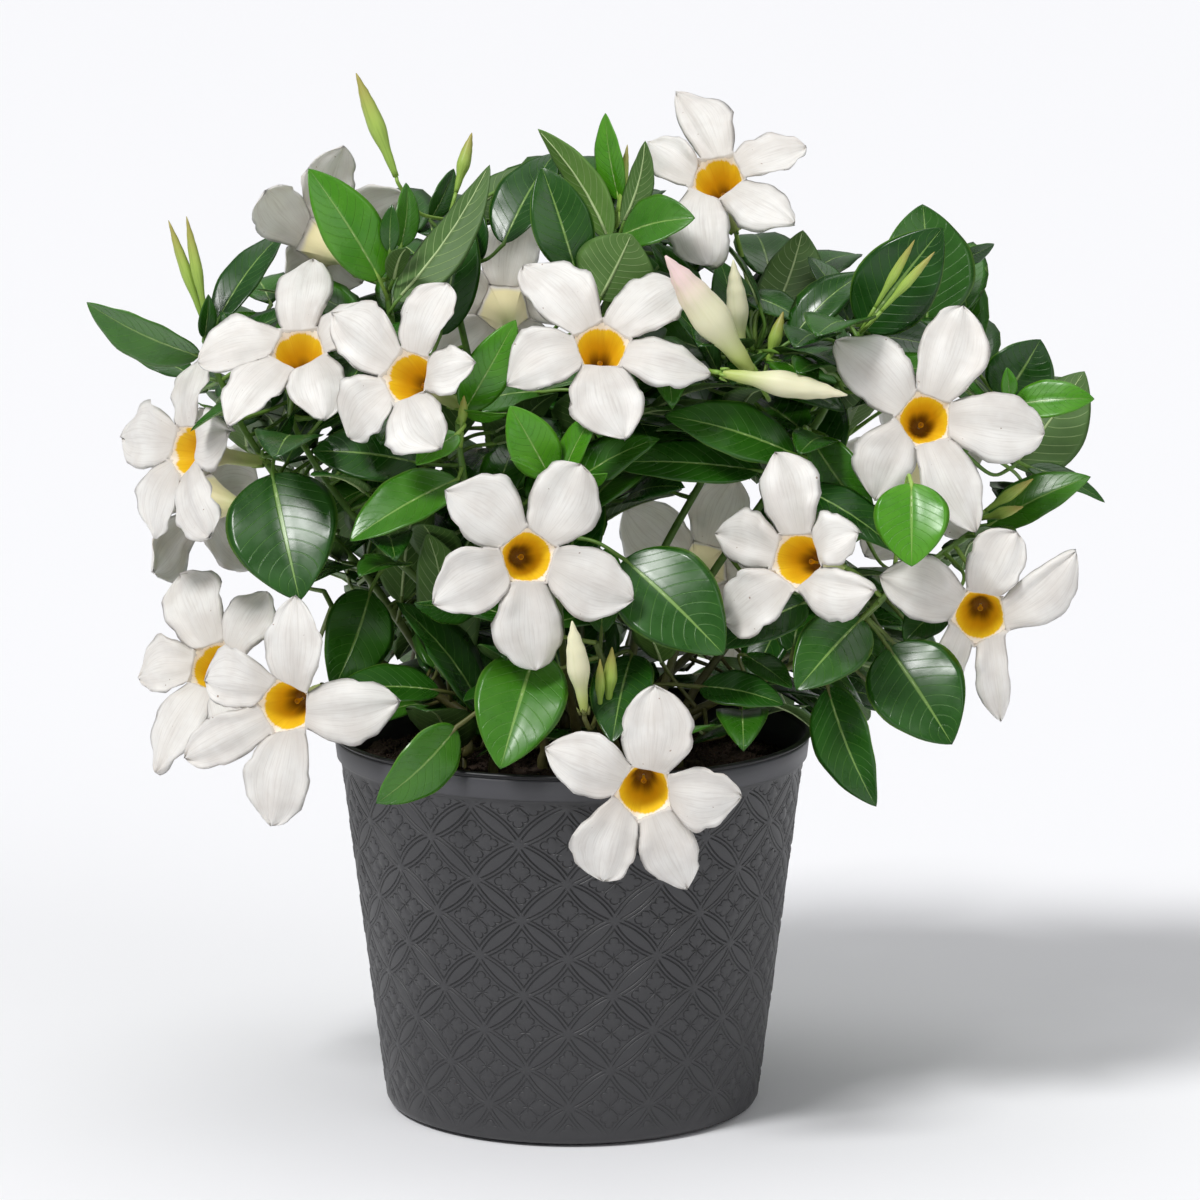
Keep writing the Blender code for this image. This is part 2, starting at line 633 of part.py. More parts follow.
def turned_object(name, profile, steps, collection):
    """A turned body: the profile starts and ends on the axis and runs down its outer side."""
    mesh = bpy.data.meshes.new(name)
    points = [(radius * MM, 0.0, height * MM) for radius, height in profile]
    mesh.from_pydata(points, [(i, i + 1) for i in range(len(points) - 1)], [])
    obj = bpy.data.objects.new(name, mesh)
    collection.objects.link(obj)
    turn = obj.modifiers.new("turn", "SCREW")
    turn.steps = steps
    turn.render_steps = steps
    turn.use_merge_vertices = True
    turn.merge_threshold = 0.00005
    return obj


def wall_radius(height):
    return WALL_FOOT_RADIUS + WALL_FLARE * height


def pot_profile():
    inner_foot = wall_radius(FLOOR + CHANNEL_HEIGHT) - WALL
    return [
        (0.0, FLOOR),
        (BOSS_RADIUS - 3.0, FLOOR),
        (BOSS_RADIUS, FLOOR + CHANNEL_HEIGHT),
        (inner_foot, FLOOR + CHANNEL_HEIGHT),
        (wall_radius(BAND_BOTTOM) - WALL, BAND_BOTTOM),
        (RIM_RADIUS - 3.4, POT_HEIGHT),
        (RIM_RADIUS - 0.6, POT_HEIGHT),
        (RIM_RADIUS, POT_HEIGHT - 0.6),
        (RIM_RADIUS - 1.0, BAND_TOP + 1.2),
        (RIM_RADIUS - 2.4, BAND_TOP + 0.8),
        (RIM_RADIUS - 1.8, BAND_TOP),
        (RIM_RADIUS - 2.8, BAND_BOTTOM),
        (wall_radius(BAND_BOTTOM - 1.2), BAND_BOTTOM - 1.2),
        (wall_radius(4.0), 4.0),
        (FOOT_RADIUS, 0.0),
        (FOOT_INNER_RADIUS, 0.0),
        (FOOT_INNER_RADIUS - 1.0, CHANNEL_HEIGHT),
        (BOSS_RADIUS + 1.0, CHANNEL_HEIGHT),
        (BOSS_RADIUS, 0.0),
        (0.0, 0.0),
    ]


def soil_radius(height):
    """Clear of the flats of the planter's faceted wall."""
    return (wall_radius(height) - WALL) * math.cos(math.pi / POT_STEPS) - GAP


def soil_profile():
    bed = FLOOR + CHANNEL_HEIGHT + GAP
    return [
        (0.0, SOIL_TOP),
        (70.0, SOIL_TOP),
        (soil_radius(SOIL_TOP) - 8.0, SOIL_TOP - SOIL_DIP),
        (soil_radius(SOIL_TOP - SOIL_DIP - 1.0), SOIL_TOP - SOIL_DIP - 1.0),
        (soil_radius(bed), bed),
        (BOSS_RADIUS, bed),
        (BOSS_RADIUS - 3.0 - GAP, FLOOR + GAP),
        (0.0, FLOOR + GAP),
    ]


def box_cutter(name, size, place, angle, collection):
    bpy.ops.mesh.primitive_cube_add(size=1.0)
    obj = bpy.context.object
    obj.name = name
    obj.scale = [s * MM for s in size]
    obj.location = [p * MM for p in place]
    obj.rotation_euler.z = angle
    return as_cutter(obj, collection)


def round_cutter(name, radius, low, high, x, y, sides, collection):
    bpy.ops.mesh.primitive_cylinder_add(
        vertices=sides,
        radius=radius * MM,
        depth=(high - low) * MM,
        location=(x * MM, y * MM, (low + high) / 2 * MM),
    )
    obj = bpy.context.object
    obj.name = name
    return as_cutter(obj, collection)


def as_cutter(obj, collection):
    for owner in obj.users_collection:
        owner.objects.unlink(obj)
    collection.objects.link(obj)
    obj.hide_render = True
    obj.display_type = "WIRE"
    return obj


def add_boolean(obj, collection, operation):
    cut = obj.modifiers.new("cut" if operation == "DIFFERENCE" else "join", "BOOLEAN")
    cut.operand_type = "COLLECTION"
    cut.collection = collection
    cut.operation = operation
    cut.solver = "EXACT"
    cut.use_self = operation == "UNION"
    return cut


def make_pot(plant, finish):
    pot = turned_object("pot", pot_profile(), POT_STEPS, plant)
    cutters = new_collection("pot_cutters")
    for i in range(NOTCH_COUNT):
        angle = math.radians(NOTCH_FIRST_ANGLE + 360.0 * i / NOTCH_COUNT)
        out = Vector((math.cos(angle), math.sin(angle), 0.0))
        notch = out * (FOOT_INNER_RADIUS + 8.0)
        size = (24.0, NOTCH_WIDTH, 2 * NOTCH_HEIGHT)
        box_cutter(f"notch_{i}", size, (notch.x, notch.y, 0.0), angle, cutters)
        drain = out * DRAIN_FROM_AXIS
        above = FLOOR + CHANNEL_HEIGHT + 1.0
        round_cutter(f"drain_{i}", DRAIN_RADIUS, -1.0, above, drain.x, drain.y, 12, cutters)
    add_boolean(pot, cutters, "DIFFERENCE")
    pot.data.materials.append(finish)


def make_soil(plant, shoots, finish):
    soil = turned_object("soil", soil_profile(), SOIL_STEPS, plant)
    cutters = new_collection("soil_cutters")
    for name, path in shoots.items():
        foot = path[0]
        hole = (STEM_FOOT_RADIUS + GAP) / math.cos(math.pi / 6)
        bottom = SOIL_TOP - ROOT_DEPTH - 1.0
        round_cutter(f"hole_{name}", hole, bottom, SOIL_TOP + 4.0, foot.x, foot.y, 6, cutters)
    add_boolean(soil, cutters, "DIFFERENCE")
    soil.data.materials.append(finish)


def shoot_path(angle, reach, places):
    """A stem that stands straight in the soil and then follows its own places."""
    turn = math.radians(angle)
    foot = Vector((math.cos(turn), math.sin(turn), 0.0)) * STEM_SPREAD * reach
    low = foot + Vector((0.0, 0.0, SOIL_TOP - ROOT_DEPTH))
    ground = foot + Vector((0.0, 0.0, SOIL_TOP + 4.0))
    above = smooth_path([ground, ground + Vector((0, 0, 14.0))] + [seen(p) for p in places], 8)
    return [low] + above


def stem_radius(share):
    return STEM_FOOT_RADIUS + (STEM_TIP_RADIUS - STEM_FOOT_RADIUS) * share


def add_obstacles(space):
    """The planter's rim and wall and the soil's top, which leaves bend clear of."""
    rim = [(RIM_RADIUS - 3.0, POT_HEIGHT), (RIM_RADIUS, POT_HEIGHT)]
    rings = [(0.0, SOIL_TOP), (110.0, SOIL_TOP)] + rim + [(WALL_FOOT_RADIUS, 0.0)]
    count = 36
    points = []
    triangles = []
    for radius, height in rings:
        for i in range(count):
            angle = 2 * math.pi * i / count
            points.append(Vector((radius * math.cos(angle), radius * math.sin(angle), height)))
    for ring in range(len(rings) - 1):
        for i in range(count):
            a, b = ring * count + i, ring * count + (i + 1) % count
            if ring:
                triangles.append((a, b, b + count))
            triangles.append((a, b + count, a + count))
    space.add_sheet(points, triangles)


def nearest_on(shoots, place, low=0.3):
    """The shoot that passes closest to a place, and the point on it."""
    best = None
    for name, path in shoots.items():
        line = dense(path)
        for point in line[int(low * len(line)) :]:
            distance = (point - place).length
            if best is None or distance < best[0]:
                best = (distance, name, point)
    return best[1], best[2]


def plan_blooms(shoots, space):
    """Blooms take their places first, each on the shoot that passes closest."""
    plans = []
    for index, (place, facing, tips) in enumerate(BLOOMS):
        bloom = Bloom(place, facing, tips, SEED + index)
        points, triangles = bloom_surface(bloom)
        base = bloom.throat - bloom.axis * TUBE_LENGTH
        owner, start = nearest_on(shoots, base - bloom.axis * 16)
        end = base - bloom.axis * (GAP + 0.15)
        stalk = bent_path(start, end, bloom.axis, 3, CALYX_LENGTH)
        space.add_sheet(points, triangles)
        plans.append({"bloom": bloom, "surface": (points, triangles), "owner": owner, "stalk": stalk})
    return plans


def bud_path(foot, tip):
    return [foot.lerp(tip, t) for t in BUD_PLACES]


def bud_radii(width):
    return [width * k for k in BUD_SHARES]


def plan_buds(table, shoots, space):
    plans = []
    for foot, tip, width in table:
        foot, tip = seen(foot), seen(tip)
        direction = (tip - foot).normalized()
        owner, start = nearest_on(shoots, foot - direction * 8)
        stalk = bent_path(start, foot, direction, 3, CALYX_LENGTH)
        space.add_rod(dense(bud_path(foot, tip)), width / 2, owner)
        plans.append({"foot": foot, "tip": tip, "width": width, "owner": owner, "stalk": stalk})
    return plans


def stalk_to(leaf, shoots, owner=None, start=None):
    """The stalk that carries a leaf, from inside its stem to the blade's foot."""
    if start is None:
        owner, start = nearest_on(shoots, leaf.base - leaf.along * 12)
    reach = (leaf.base - start).length
    return owner, bent_path(start, leaf.base, leaf.along, 2 if reach < 16 else 3)


def faces_eye(point):
    return (EYE - point).normalized()


def shifted(point, toward):
    """The same place as the eye sees it, moved towards the eye."""
    return point + (EYE - point).normalized() * toward


def plan_leaves(shoots, space):
    """Leaves known from the photograph keep the place that is seen and give way in depth."""
    plans = []
    for index, (foot, tip, width, turn) in enumerate(LEAVES):
        found = None
        for move, tilt in LEAF_TRIES:
            base = shifted(seen(foot), move - tilt * 0.5)
            end = shifted(seen(tip), move + tilt)
            leaf = Leaf(base, end, width, turn, faces_eye(base), seed=SEED + index)
            owner, stalk = stalk_to(leaf, shoots)
            sheet = blade_sheet(leaf)
            clear = space.sheet_is_clear(*sheet, owner)
            if clear and space.rod_is_clear(dense(stalk)[1:-1] or stalk, STALK_WIDTH / 2, owner):
                found = (leaf, owner, stalk, sheet)
                break
        if found is None:
            raise ValueError(f"leaf {index} has no room")
        leaf, owner, stalk, sheet = found
        space.add_sheet(*sheet)
        space.add_rod(dense(stalk), STALK_WIDTH / 2, owner)
        plans.append({"leaf": leaf, "owner": owner, "stalk": stalk})
    return plans


def merged_tree(sheets):
    points = []
    triangles = []
    for sheet_points, sheet_triangles in sheets:
        start = len(points)
        points.extend(sheet_points)
        triangles.extend(tuple(i + start for i in t) for t in sheet_triangles)
    return BVHTree.FromPolygons(points, triangles)


def hides(tree, points):
    """How many of the points stand before something in the tree, as the eye sees them."""
    return sum(tree.ray_cast(p, (p - EYE).normalized())[0] is not None for p in points)


def plan_added_leaves(shoots, space, blooms, leaves):
    """Pairs of leaves up each shoot, turned a quarter from pair to pair, wherever there is room."""
    draw = random.Random(SEED)
    flowers = merged_tree([plan["surface"] for plan in blooms])
    known = merged_tree([blade_sheet(plan["leaf"]) for plan in leaves])
    slots = []
    for order, (name, path) in enumerate(shoots.items()):
        line = dense(path, 2.0)
        height = 24
        pair = 0
        while height < len(line) - 1:
            for half in (0, 1):
                slots.append((draw.random(), name, height, pair * math.pi / 2 + half * math.pi + order, half))
            height += 9 + draw.randrange(4)
            pair += 1
    slots.sort()
    plans = []
    for _, name, height, azimuth, _ in slots:
        if len(plans) >= ADDED_LEAVES:
            break
        line = dense(shoots[name], 2.0)
        start = line[height]
        stem_way = (line[min(height + 2, len(line) - 1)] - line[height - 2]).normalized()
        share = height / len(line)
        size = draw.uniform(58, 82) * (1.0 if share < 0.75 else 0.72)
        bend = draw.uniform(-0.15, 0.35)
        for trial in range(10):
            spin = azimuth + (0.0, 0.5, -0.5, 0.9, -0.9)[trial % 5]
            scale = 1.0 if trial < 5 else 0.72
            leaf = added_leaf(start, stem_way, spin, size * scale, bend, SEED + ADDED_SEED + len(plans))
            sheet = blade_sheet(leaf)
            if not all(inside_outline(p) for p in sheet[0]):
                continue
            if hides(flowers, sheet[0]) or hides(known, sheet[0]) > 2:
                continue
            stalk = [start, leaf.base]
            if not space.sheet_is_clear(*sheet, name):
                continue
            if not space.rod_is_clear(dense(stalk)[1:] or stalk, STALK_WIDTH / 2, name):
                continue
            space.add_sheet(*sheet)
            space.add_rod(dense(stalk), STALK_WIDTH / 2, name)
            plans.append({"leaf": leaf, "owner": name, "stalk": stalk})
            break
    return plans


def added_leaf(start, stem_way, spin, size, bend, seed):
    across = stem_way.orthogonal().normalized()
    over = stem_way.cross(across)
    out = across * math.cos(spin) + over * math.sin(spin)
    up = Vector((0.0, 0.0, 1.0))
    way = (out + stem_way * 0.55 - up * bend).normalized()
    base = start + way * 12.0
    facing = up - way * up.dot(way) + Vector((0.001, 0.0, 0.0))
    return Leaf(base, base + way * size, size * 0.42, 0.0, facing, arch=0.1, seed=seed)


def join_shoot(name, path, leaves, blooms, buds, green_buds, plant, finish):
    """One shoot with its leaves, flower stalks and green buds, fused into one body."""
    parts = new_collection(name + "_parts")
    radii = [stem_radius(i / (len(path) - 1)) for i in range(len(path))]
    shoot = tube_object(name, path, radii, 4, plant)
    for i, plan in enumerate(leaves):
        surface_object(f"{name}_leaf_{i}", *leaf_surface(plan["leaf"], plan["stalk"]), LEAF_THICK, parts)
    for i, plan in enumerate(blooms):
        radii = [STALK_RADIUS] * (len(plan["stalk"]) - 1) + [TUBE_RADIUS]
        tube_object(f"{name}_flower_stalk_{i}", plan["stalk"], radii, 4, parts)
    for i, plan in enumerate(buds):
        way = (plan["tip"] - plan["foot"]).normalized()
        stalk = plan["stalk"][:-1] + [plan["foot"] - way * GAP]
        radii = [STALK_RADIUS] * (len(stalk) - 1) + [plan["width"] * BUD_SHARES[0]]
        tube_object(f"{name}_bud_stalk_{i}", stalk, radii, 4, parts)
    for i, plan in enumerate(green_buds):
        body = bud_path(plan["foot"], plan["tip"])[1:]
        radii = [STALK_RADIUS] * (len(plan["stalk"]) - 1) + bud_radii(plan["width"])[1:]
        tube_object(f"{name}_green_bud_{i}", plan["stalk"][:-1] + body, radii, 4, parts)
    if parts.objects:
        add_boolean(shoot, parts, "UNION")
        apply_modifiers(shoot)
        drop_scraps(shoot.data)
    for obj in list(parts.objects):
        bpy.data.objects.remove(obj, do_unlink=True)
    bpy.data.collections.remove(parts)
    shoot.data.materials.clear()
    shoot.data.materials.append(finish)


def drop_scraps(mesh):
    """Keeps the largest connected body of a mesh."""
    body = bmesh.new()
    body.from_mesh(mesh)
    bmesh.ops.triangulate(body, faces=body.faces)
    bmesh.ops.dissolve_degenerate(body, dist=SLIVER * MM, edges=body.edges)
    waiting = set(body.faces)
    islands = []
    while waiting:
        front = [waiting.pop()]
        island = []
        while front:
            face = front.pop()
            island.append(face)
            plain = [edge for edge in face.edges if len(edge.link_faces) == 2]
            beside = {other for edge in plain for other in edge.link_faces} & waiting
            waiting -= beside
            front.extend(beside)
        islands.append(island)
    islands.sort(key=len)
    for island in islands[:-1]:
        bmesh.ops.delete(body, geom=island, context="FACES")
    body.to_mesh(mesh)
    body.free()


def apply_modifiers(obj):
    graph = bpy.context.evaluated_depsgraph_get()
    mesh = bpy.data.meshes.new_from_object(obj.evaluated_get(graph))
    obj.modifiers.clear()
    obj.data = mesh
    mesh.name = obj.name


def make_bloom(index, plan, plant, white, yellow):
    name = f"bloom_{index + 1:02d}"
    corolla = surface_object(name, *plan["surface"], PETAL_THICK, plant)
    corolla.data.materials.append(white)
    bloom = plan["bloom"]
    narrowing = (THROAT_RADIUS - NECK_RADIUS) / NECK_BACK
    inset = PETAL_THICK / 2 + GAP + 0.35
    top = THROAT_RADIUS - LINING_TOP * narrowing - inset
    mesh = bpy.data.meshes.new(f"throat_{index + 1:02d}")
    angles = []
    for lobe in bloom.lobes:
        angles.extend([lobe["angle"] - math.pi / 5, lobe["angle"]])
    points = [bloom.ring_point(LINING_TOP, top, a) for a in angles]
    points += [bloom.ring_point(LINING_TOP, top - 0.9, a) for a in angles]
    points += [bloom.ring_point(LINING_BACK, 0.0, 0.0), bloom.ring_point(LINING_BACK - 3.0, 0.0, 0.0)]
    faces = []
    for i in range(10):
        j = (i + 1) % 10
        faces.extend([(i, j, 10 + j), (i, 10 + j, 10 + i), (j, i, 20), (10 + i, 10 + j, 21)])
    mesh.from_pydata([tuple(p * MM) for p in points], [], faces)
    lining = bpy.data.objects.new(mesh.name, mesh)
    plant.objects.link(lining)
    lining.data.materials.append(yellow)


def make_cream_bud(index, plan, plant, finish):
    name = f"bud_{index + 1:02d}"
    bud = tube_object(name, bud_path(plan["foot"], plan["tip"]), bud_radii(plan["width"]), 6, plant)
    bud.data.materials.clear()
    bud.data.materials.append(finish)


def main():
    clear_scene()
    plant = new_collection("potted_mandevilla")
    charcoal = material("charcoal_polypropylene", (0.056, 0.056, 0.062), 0.5)
    peat = material("peat", (0.035, 0.022, 0.014), 0.95)
    green = material("mandevilla_leaf", (0.035, 0.13, 0.02), 0.35)
    white = material("white_petal", (0.86, 0.85, 0.83), 0.55)
    yellow = material("golden_throat", (0.86, 0.46, 0.02), 0.55)
    cream = material("cream_bud", (0.78, 0.74, 0.48), 0.5)

    shoots = {name: shoot_path(*row) for name, row in SHOOTS.items()}
    space = Space()
    add_obstacles(space)
    for name, path in shoots.items():
        space.add_rod(dense(path), STEM_FOOT_RADIUS, name)
    blooms = plan_blooms(shoots, space)
    buds = plan_buds(CREAM_BUDS, shoots, space)
    green_buds = plan_buds(GREEN_BUDS, shoots, space)
    for plan in blooms + buds + green_buds:
        space.add_rod(dense(plan["stalk"]), STALK_RADIUS, plan["owner"])
    leaves = plan_leaves(shoots, space)
    leaves += plan_added_leaves(shoots, space, blooms, leaves)

    make_pot(plant, charcoal)
    make_soil(plant, shoots, peat)
    for name, path in shoots.items():
        own = [[p for p in plans if p["owner"] == name] for plans in (leaves, blooms, buds, green_buds)]
        join_shoot(f"shoot_{name}", path, *own, plant, green)
    for index, plan in enumerate(blooms):
        make_bloom(index, plan, plant, white, yellow)
    for index, plan in enumerate(buds):
        make_cream_bud(index, plan, plant, cream)


main()
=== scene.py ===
"""White mandevilla in a moulded planter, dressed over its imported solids."""

import math
import random

import bmesh
import bpy
import numpy as np
from mathutils import Matrix, Vector
from mathutils.bvhtree import BVHTree


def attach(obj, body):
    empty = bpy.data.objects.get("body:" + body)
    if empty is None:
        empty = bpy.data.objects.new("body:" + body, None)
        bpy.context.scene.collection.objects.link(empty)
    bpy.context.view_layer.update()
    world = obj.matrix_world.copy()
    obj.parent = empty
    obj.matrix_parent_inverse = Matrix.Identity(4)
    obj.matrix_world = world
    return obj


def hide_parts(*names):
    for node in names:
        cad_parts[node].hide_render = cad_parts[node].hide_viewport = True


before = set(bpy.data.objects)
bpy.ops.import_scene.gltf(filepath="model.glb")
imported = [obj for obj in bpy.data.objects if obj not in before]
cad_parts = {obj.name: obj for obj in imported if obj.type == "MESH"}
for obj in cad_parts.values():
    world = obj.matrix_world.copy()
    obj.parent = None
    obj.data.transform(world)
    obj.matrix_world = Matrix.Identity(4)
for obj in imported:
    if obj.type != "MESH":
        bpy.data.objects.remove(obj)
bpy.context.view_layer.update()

# Lengths are millimetres until a mesh is made.
MM = 0.001

# Planter
POT_HEIGHT = 190.0
RIM_RADIUS = 120.0
WALL_FOOT_RADIUS = 93.5
WALL_FLARE = 0.1254
BAND_BOTTOM = 177.0
BAND_TOP = 187.0
WALL = 2.6
FOOT_RADIUS = 88.0
FOOT_INNER_RADIUS = 79.0
BOSS_RADIUS = 57.0
CHANNEL_HEIGHT = 4.0
FLOOR = 3.0
NOTCH_COUNT = 4
NOTCH_FIRST_ANGLE = -128.0
NOTCH_WIDTH = 34.0
NOTCH_HEIGHT = 3.4
DRAIN_RADIUS = 6.0
DRAIN_FROM_AXIS = 69.0
POT_STEPS = 36

# Soil
SOIL_TOP = 176.0
SOIL_DIP = 2.5
ROOT_DEPTH = 28.0
STEM_SPREAD = 58.0

# Clearances
GAP = 0.3
LEAF_GAP = 1.7

# Leaves, flowers and stems
STALK_WIDTH = 2.3
PETIOLE_LEAD = 12.0
FLOWER_STALK_LEAD = 16.0
BUD_STALK_LEAD = 8.0
BLADE_FULL = 2.62
STEM_FOOT_RADIUS = 2.6
STEM_TIP_RADIUS = 1.3
STALK_RADIUS = 1.2
CALYX_LENGTH = 5.0
TUBE_LENGTH = 44.0
TUBE_RADIUS = 2.9
NECK_BACK = 25.0
NECK_RADIUS = 3.6
THROAT_RADIUS = 12.0
SINUS_OUT = 3.5
SINUS_RISE = 1.0
LOBE_OVERLAP = 1.2
LONGEST_PETAL = 61.0
SEED = 7
ADDED_SEED = 1000

# Half widths from foot to tip, as shares of the lobe's own, of a pointed and of a blunt lobe
LOBE_PLACES = (0.0, 0.15, 0.3, 0.45, 0.6, 0.75, 0.88, 0.96, 1.0)
LEADING_POINTED = (0.45, 0.68, 0.79, 0.8, 0.72, 0.54, 0.31, 0.13, 0.0)
LEADING_BLUNT = (0.45, 0.68, 0.8, 0.86, 0.88, 0.84, 0.68, 0.4, 0.0)
TRAILING_POINTED = (0.45, 0.8, 1.01, 1.12, 1.07, 0.8, 0.42, 0.17, 0.0)
TRAILING_BLUNT = (0.45, 0.8, 1.01, 1.12, 1.1, 0.96, 0.7, 0.42, 0.0)

# A closed bud: places from foot to tip and the radius at each, as shares of its width
BUD_PLACES = (0.0, 0.2, 0.48, 0.8, 1.0)
BUD_SHARES = (0.17, 0.26, 0.5, 0.3, 0.04)

# The photograph's eye, seen from the middle of the rim band
EYE_ELEVATION = math.radians(11.4)
EYE_DISTANCE = 2400.0
VIEW_HEIGHT = 186.0
VIEW_OUT = Vector((0.0, -math.cos(EYE_ELEVATION), math.sin(EYE_ELEVATION)))
VIEW_UP = Vector((0.0, math.sin(EYE_ELEVATION), math.cos(EYE_ELEVATION)))
VIEW_CENTRE = Vector((0.0, 0.0, VIEW_HEIGHT))
EYE = VIEW_CENTRE + VIEW_OUT * EYE_DISTANCE

# Each shoot: foot angle and reach on the soil, then the points that it passes,
# as across, up and towards the eye from the middle of the rim band.
SHOOTS = {
    "left_high": (200, 1.0, [(-95, 70, 0), (-150, 132, 2), (-170, 165, 0), (-184, 198, 2)]),
    "left_mid": (215, 0.7, [(-62, 60, 30), (-108, 108, 38), (-131, 140, 34), (-141, 160, 20)]),
    "left_top": (180, 0.55, [(-45, 90, 5), (-78, 170, 14), (-90, 206, 22), (-92, 228, 26)]),
    "centre_left": (245, 0.6, [(-30, 50, 42), (-48, 105, 66), (-55, 135, 76), (-57, 157, 80)]),
    "top_back": (130, 0.5, [(-30, 100, -30), (-52, 190, -28), (-60, 230, -20), (-62, 258, -16)]),
    "crown": (60, 0.15, [(4, 90, 4), (13, 180, 12), (18, 222, 20), (21, 254, 24)]),
    "bud_branch": (20, 0.5, [(36, 70, 4), (72, 140, 10), (86, 170, 16), (92, 192, 18)]),
    "right_high": (350, 0.75, [(58, 60, 16), (112, 140, 26), (134, 176, 28), (147, 206, 30)]),
    "right_far": (15, 1.0, [(90, 60, -10), (170, 118, 0), (198, 144, 6), (216, 166, 10)]),
    "right_mid": (335, 1.0, [(88, 28, 12), (150, 66, 14), (182, 88, 16), (204, 104, 18)]),
    "right_low": (318, 0.9, [(66, 14, 46), (112, 36, 62), (140, 54, 70), (160, 72.6, 73.5)]),
    "front": (275, 0.45, [(-3, 30, 48), (-8, 76, 74), (-9, 104, 88), (-9, 124, 96)]),
    "front_low": (292, 0.95, [(14, 2, 64), (17, 18, 82), (16, 32, 92), (12, 46, 100)]),
    "left_low": (228, 1.0, [(-58, 14, 34), (-92, 34, 38), (-112, 52, 32), (-124, 72, 22)]),
    "back_left": (150, 0.95, [(-70, 40, -66), (-116, 88, -104), (-134, 116, -118), (-142, 140, -126)]),
    "back_mid": (95, 0.8, [(-6, 70, -78), (-10, 140, -128), (-12, 170, -142), (-14, 196, -150)]),
    "back_right": (50, 0.9, [(70, 50, -70), (112, 96, -112), (128, 124, -124), (138, 150, -130)]),
    "back_low": (80, 1.0, [(20, 14, -84), (28, 44, -136), (32, 60, -156), (34, 74, -170)]),
}

# Each bloom: the throat's place, where it faces (across, up, towards the eye),
# and its lobes as the angle and length at which each tip is seen.
BLOOMS = [
    ((73, 280, 20), (-0.22, 0.50, 0.84), ((116, 54), (22, 47), (-32, 45), (-97, 41), (150, 42))),
    ((15, 195, 88), (0.05, 0.48, 0.87), ((133, 57), (40, 50), (-11, 54), (-76, 45), (199, 48))),
    ((-83, 180, 98), (-0.52, 0.25, 0.82), ((140, 48), (67, 49), (12, 33), (-66, 37), (222, 42))),
    ((-137, 194, 50), (-0.10, 0.60, 0.78), ((81, 48), (186, 50), (228, 51), (-70, 36), (34, 43))),
    ((-194, 143, 30), (-0.80, 0.10, 0.58), ((169, 48), (88, 45), (250, 47), (-75, 44), (30, 20))),
    ((-124, 248, -22), (-0.40, 0.42, -0.80), ((140, 40), (79, 49), (30, 47), (-50, 26), (216, 26))),
    ((-180, 35, 12), (-0.45, 0.35, 0.82), ((111, 51), (53, 46), (189, 38), (242, 60), (-55, 40))),
    ((-144, 14, 74), (-0.36, -0.20, 0.91), ((85, 54), (2, 53), (-97, 60), (207, 56), (163, 42))),
    ((-22, 89, 132), (0.22, -0.04, 0.97), ((141, 50), (60, 51), (-22, 54), (-85, 54), (206, 50))),
    ((36, -29, 152), (0.00, -0.36, 0.93), ((84, 49), (-4, 46), (-67, 52), (245, 46), (158, 50))),
    ((112, 88, 112), (-0.52, 0.05, 0.85), ((100, 52), (163, 44), (222, 46), (-22, 40), (24, 31))),
    ((177, 158, 84), (0.06, 0.12, 0.99), ((71, 60), (138, 58), (238, 45), (-66, 60), (-6, 59))),
    ((204, 59, 82), (-0.10, -0.28, 0.95), ((66, 44), (34, 56), (-79, 53, 9), (244, 59, 10), (159, 52))),
    ((-186, 118, -104), (-0.80, 0.15, -0.58), ((90, 48), (162, 30), (234, 46), (306, 46), (18, 30))),
    ((-34, 214, -176), (-0.12, 0.40, -0.90), ((80, 50), (152, 50), (224, 52), (296, 48), (8, 50))),
    ((172, 130, -158), (0.52, 0.15, -0.84), ((96, 52), (168, 44), (240, 50), (312, 46), (24, 42))),
    ((66, 84, -204), (0.20, 0.05, -0.98), ((70, 52), (142, 54), (214, 50), (286, 54), (358, 52))),
]

# Large buds: foot, tip and greatest width. Their cream skins are pieces of their own.
CREAM_BUDS = [
    ((90, 181, 74), (47, 240, 106), 19),
    ((85, 190, 30), (81, 238, 40), 11),
    ((76, 181, 84), (138, 170, 94), 13),
    ((108, 216, 0), (133, 216, 4), 10),
    ((6, 12, 118), (0, 57, 134), 11),
]

# Green buds: foot, tip and greatest width
GREEN_BUDS = [
    ((-88, 280, 18), (-108, 332, 20), 9),
    ((-58, 272, -12), (-50, 302, -14), 7),
    ((-184, 206, 4), (-202, 258, 2), 6),
    ((-183, 208, 6), (-193, 260, 8), 6),
    ((98, 186, 24), (106, 212, 26), 7),
    ((152, 214, 64), (172, 248, 76), 5),
    ((155, 212, 66), (182, 242, 74), 5),
    ((207, 112, 34), (231, 128, 40), 6),
    ((205, 108, 36), (226, 114, 44), 6),
    ((18, 14, 106), (20, 44, 112), 7),
    ((14, 12, 108), (14, 38, 116), 5),
    ((-55, 152, 88), (-54, 170, 92), 5),
    ((24, 262, 26), (28, 296, 22), 5),
]

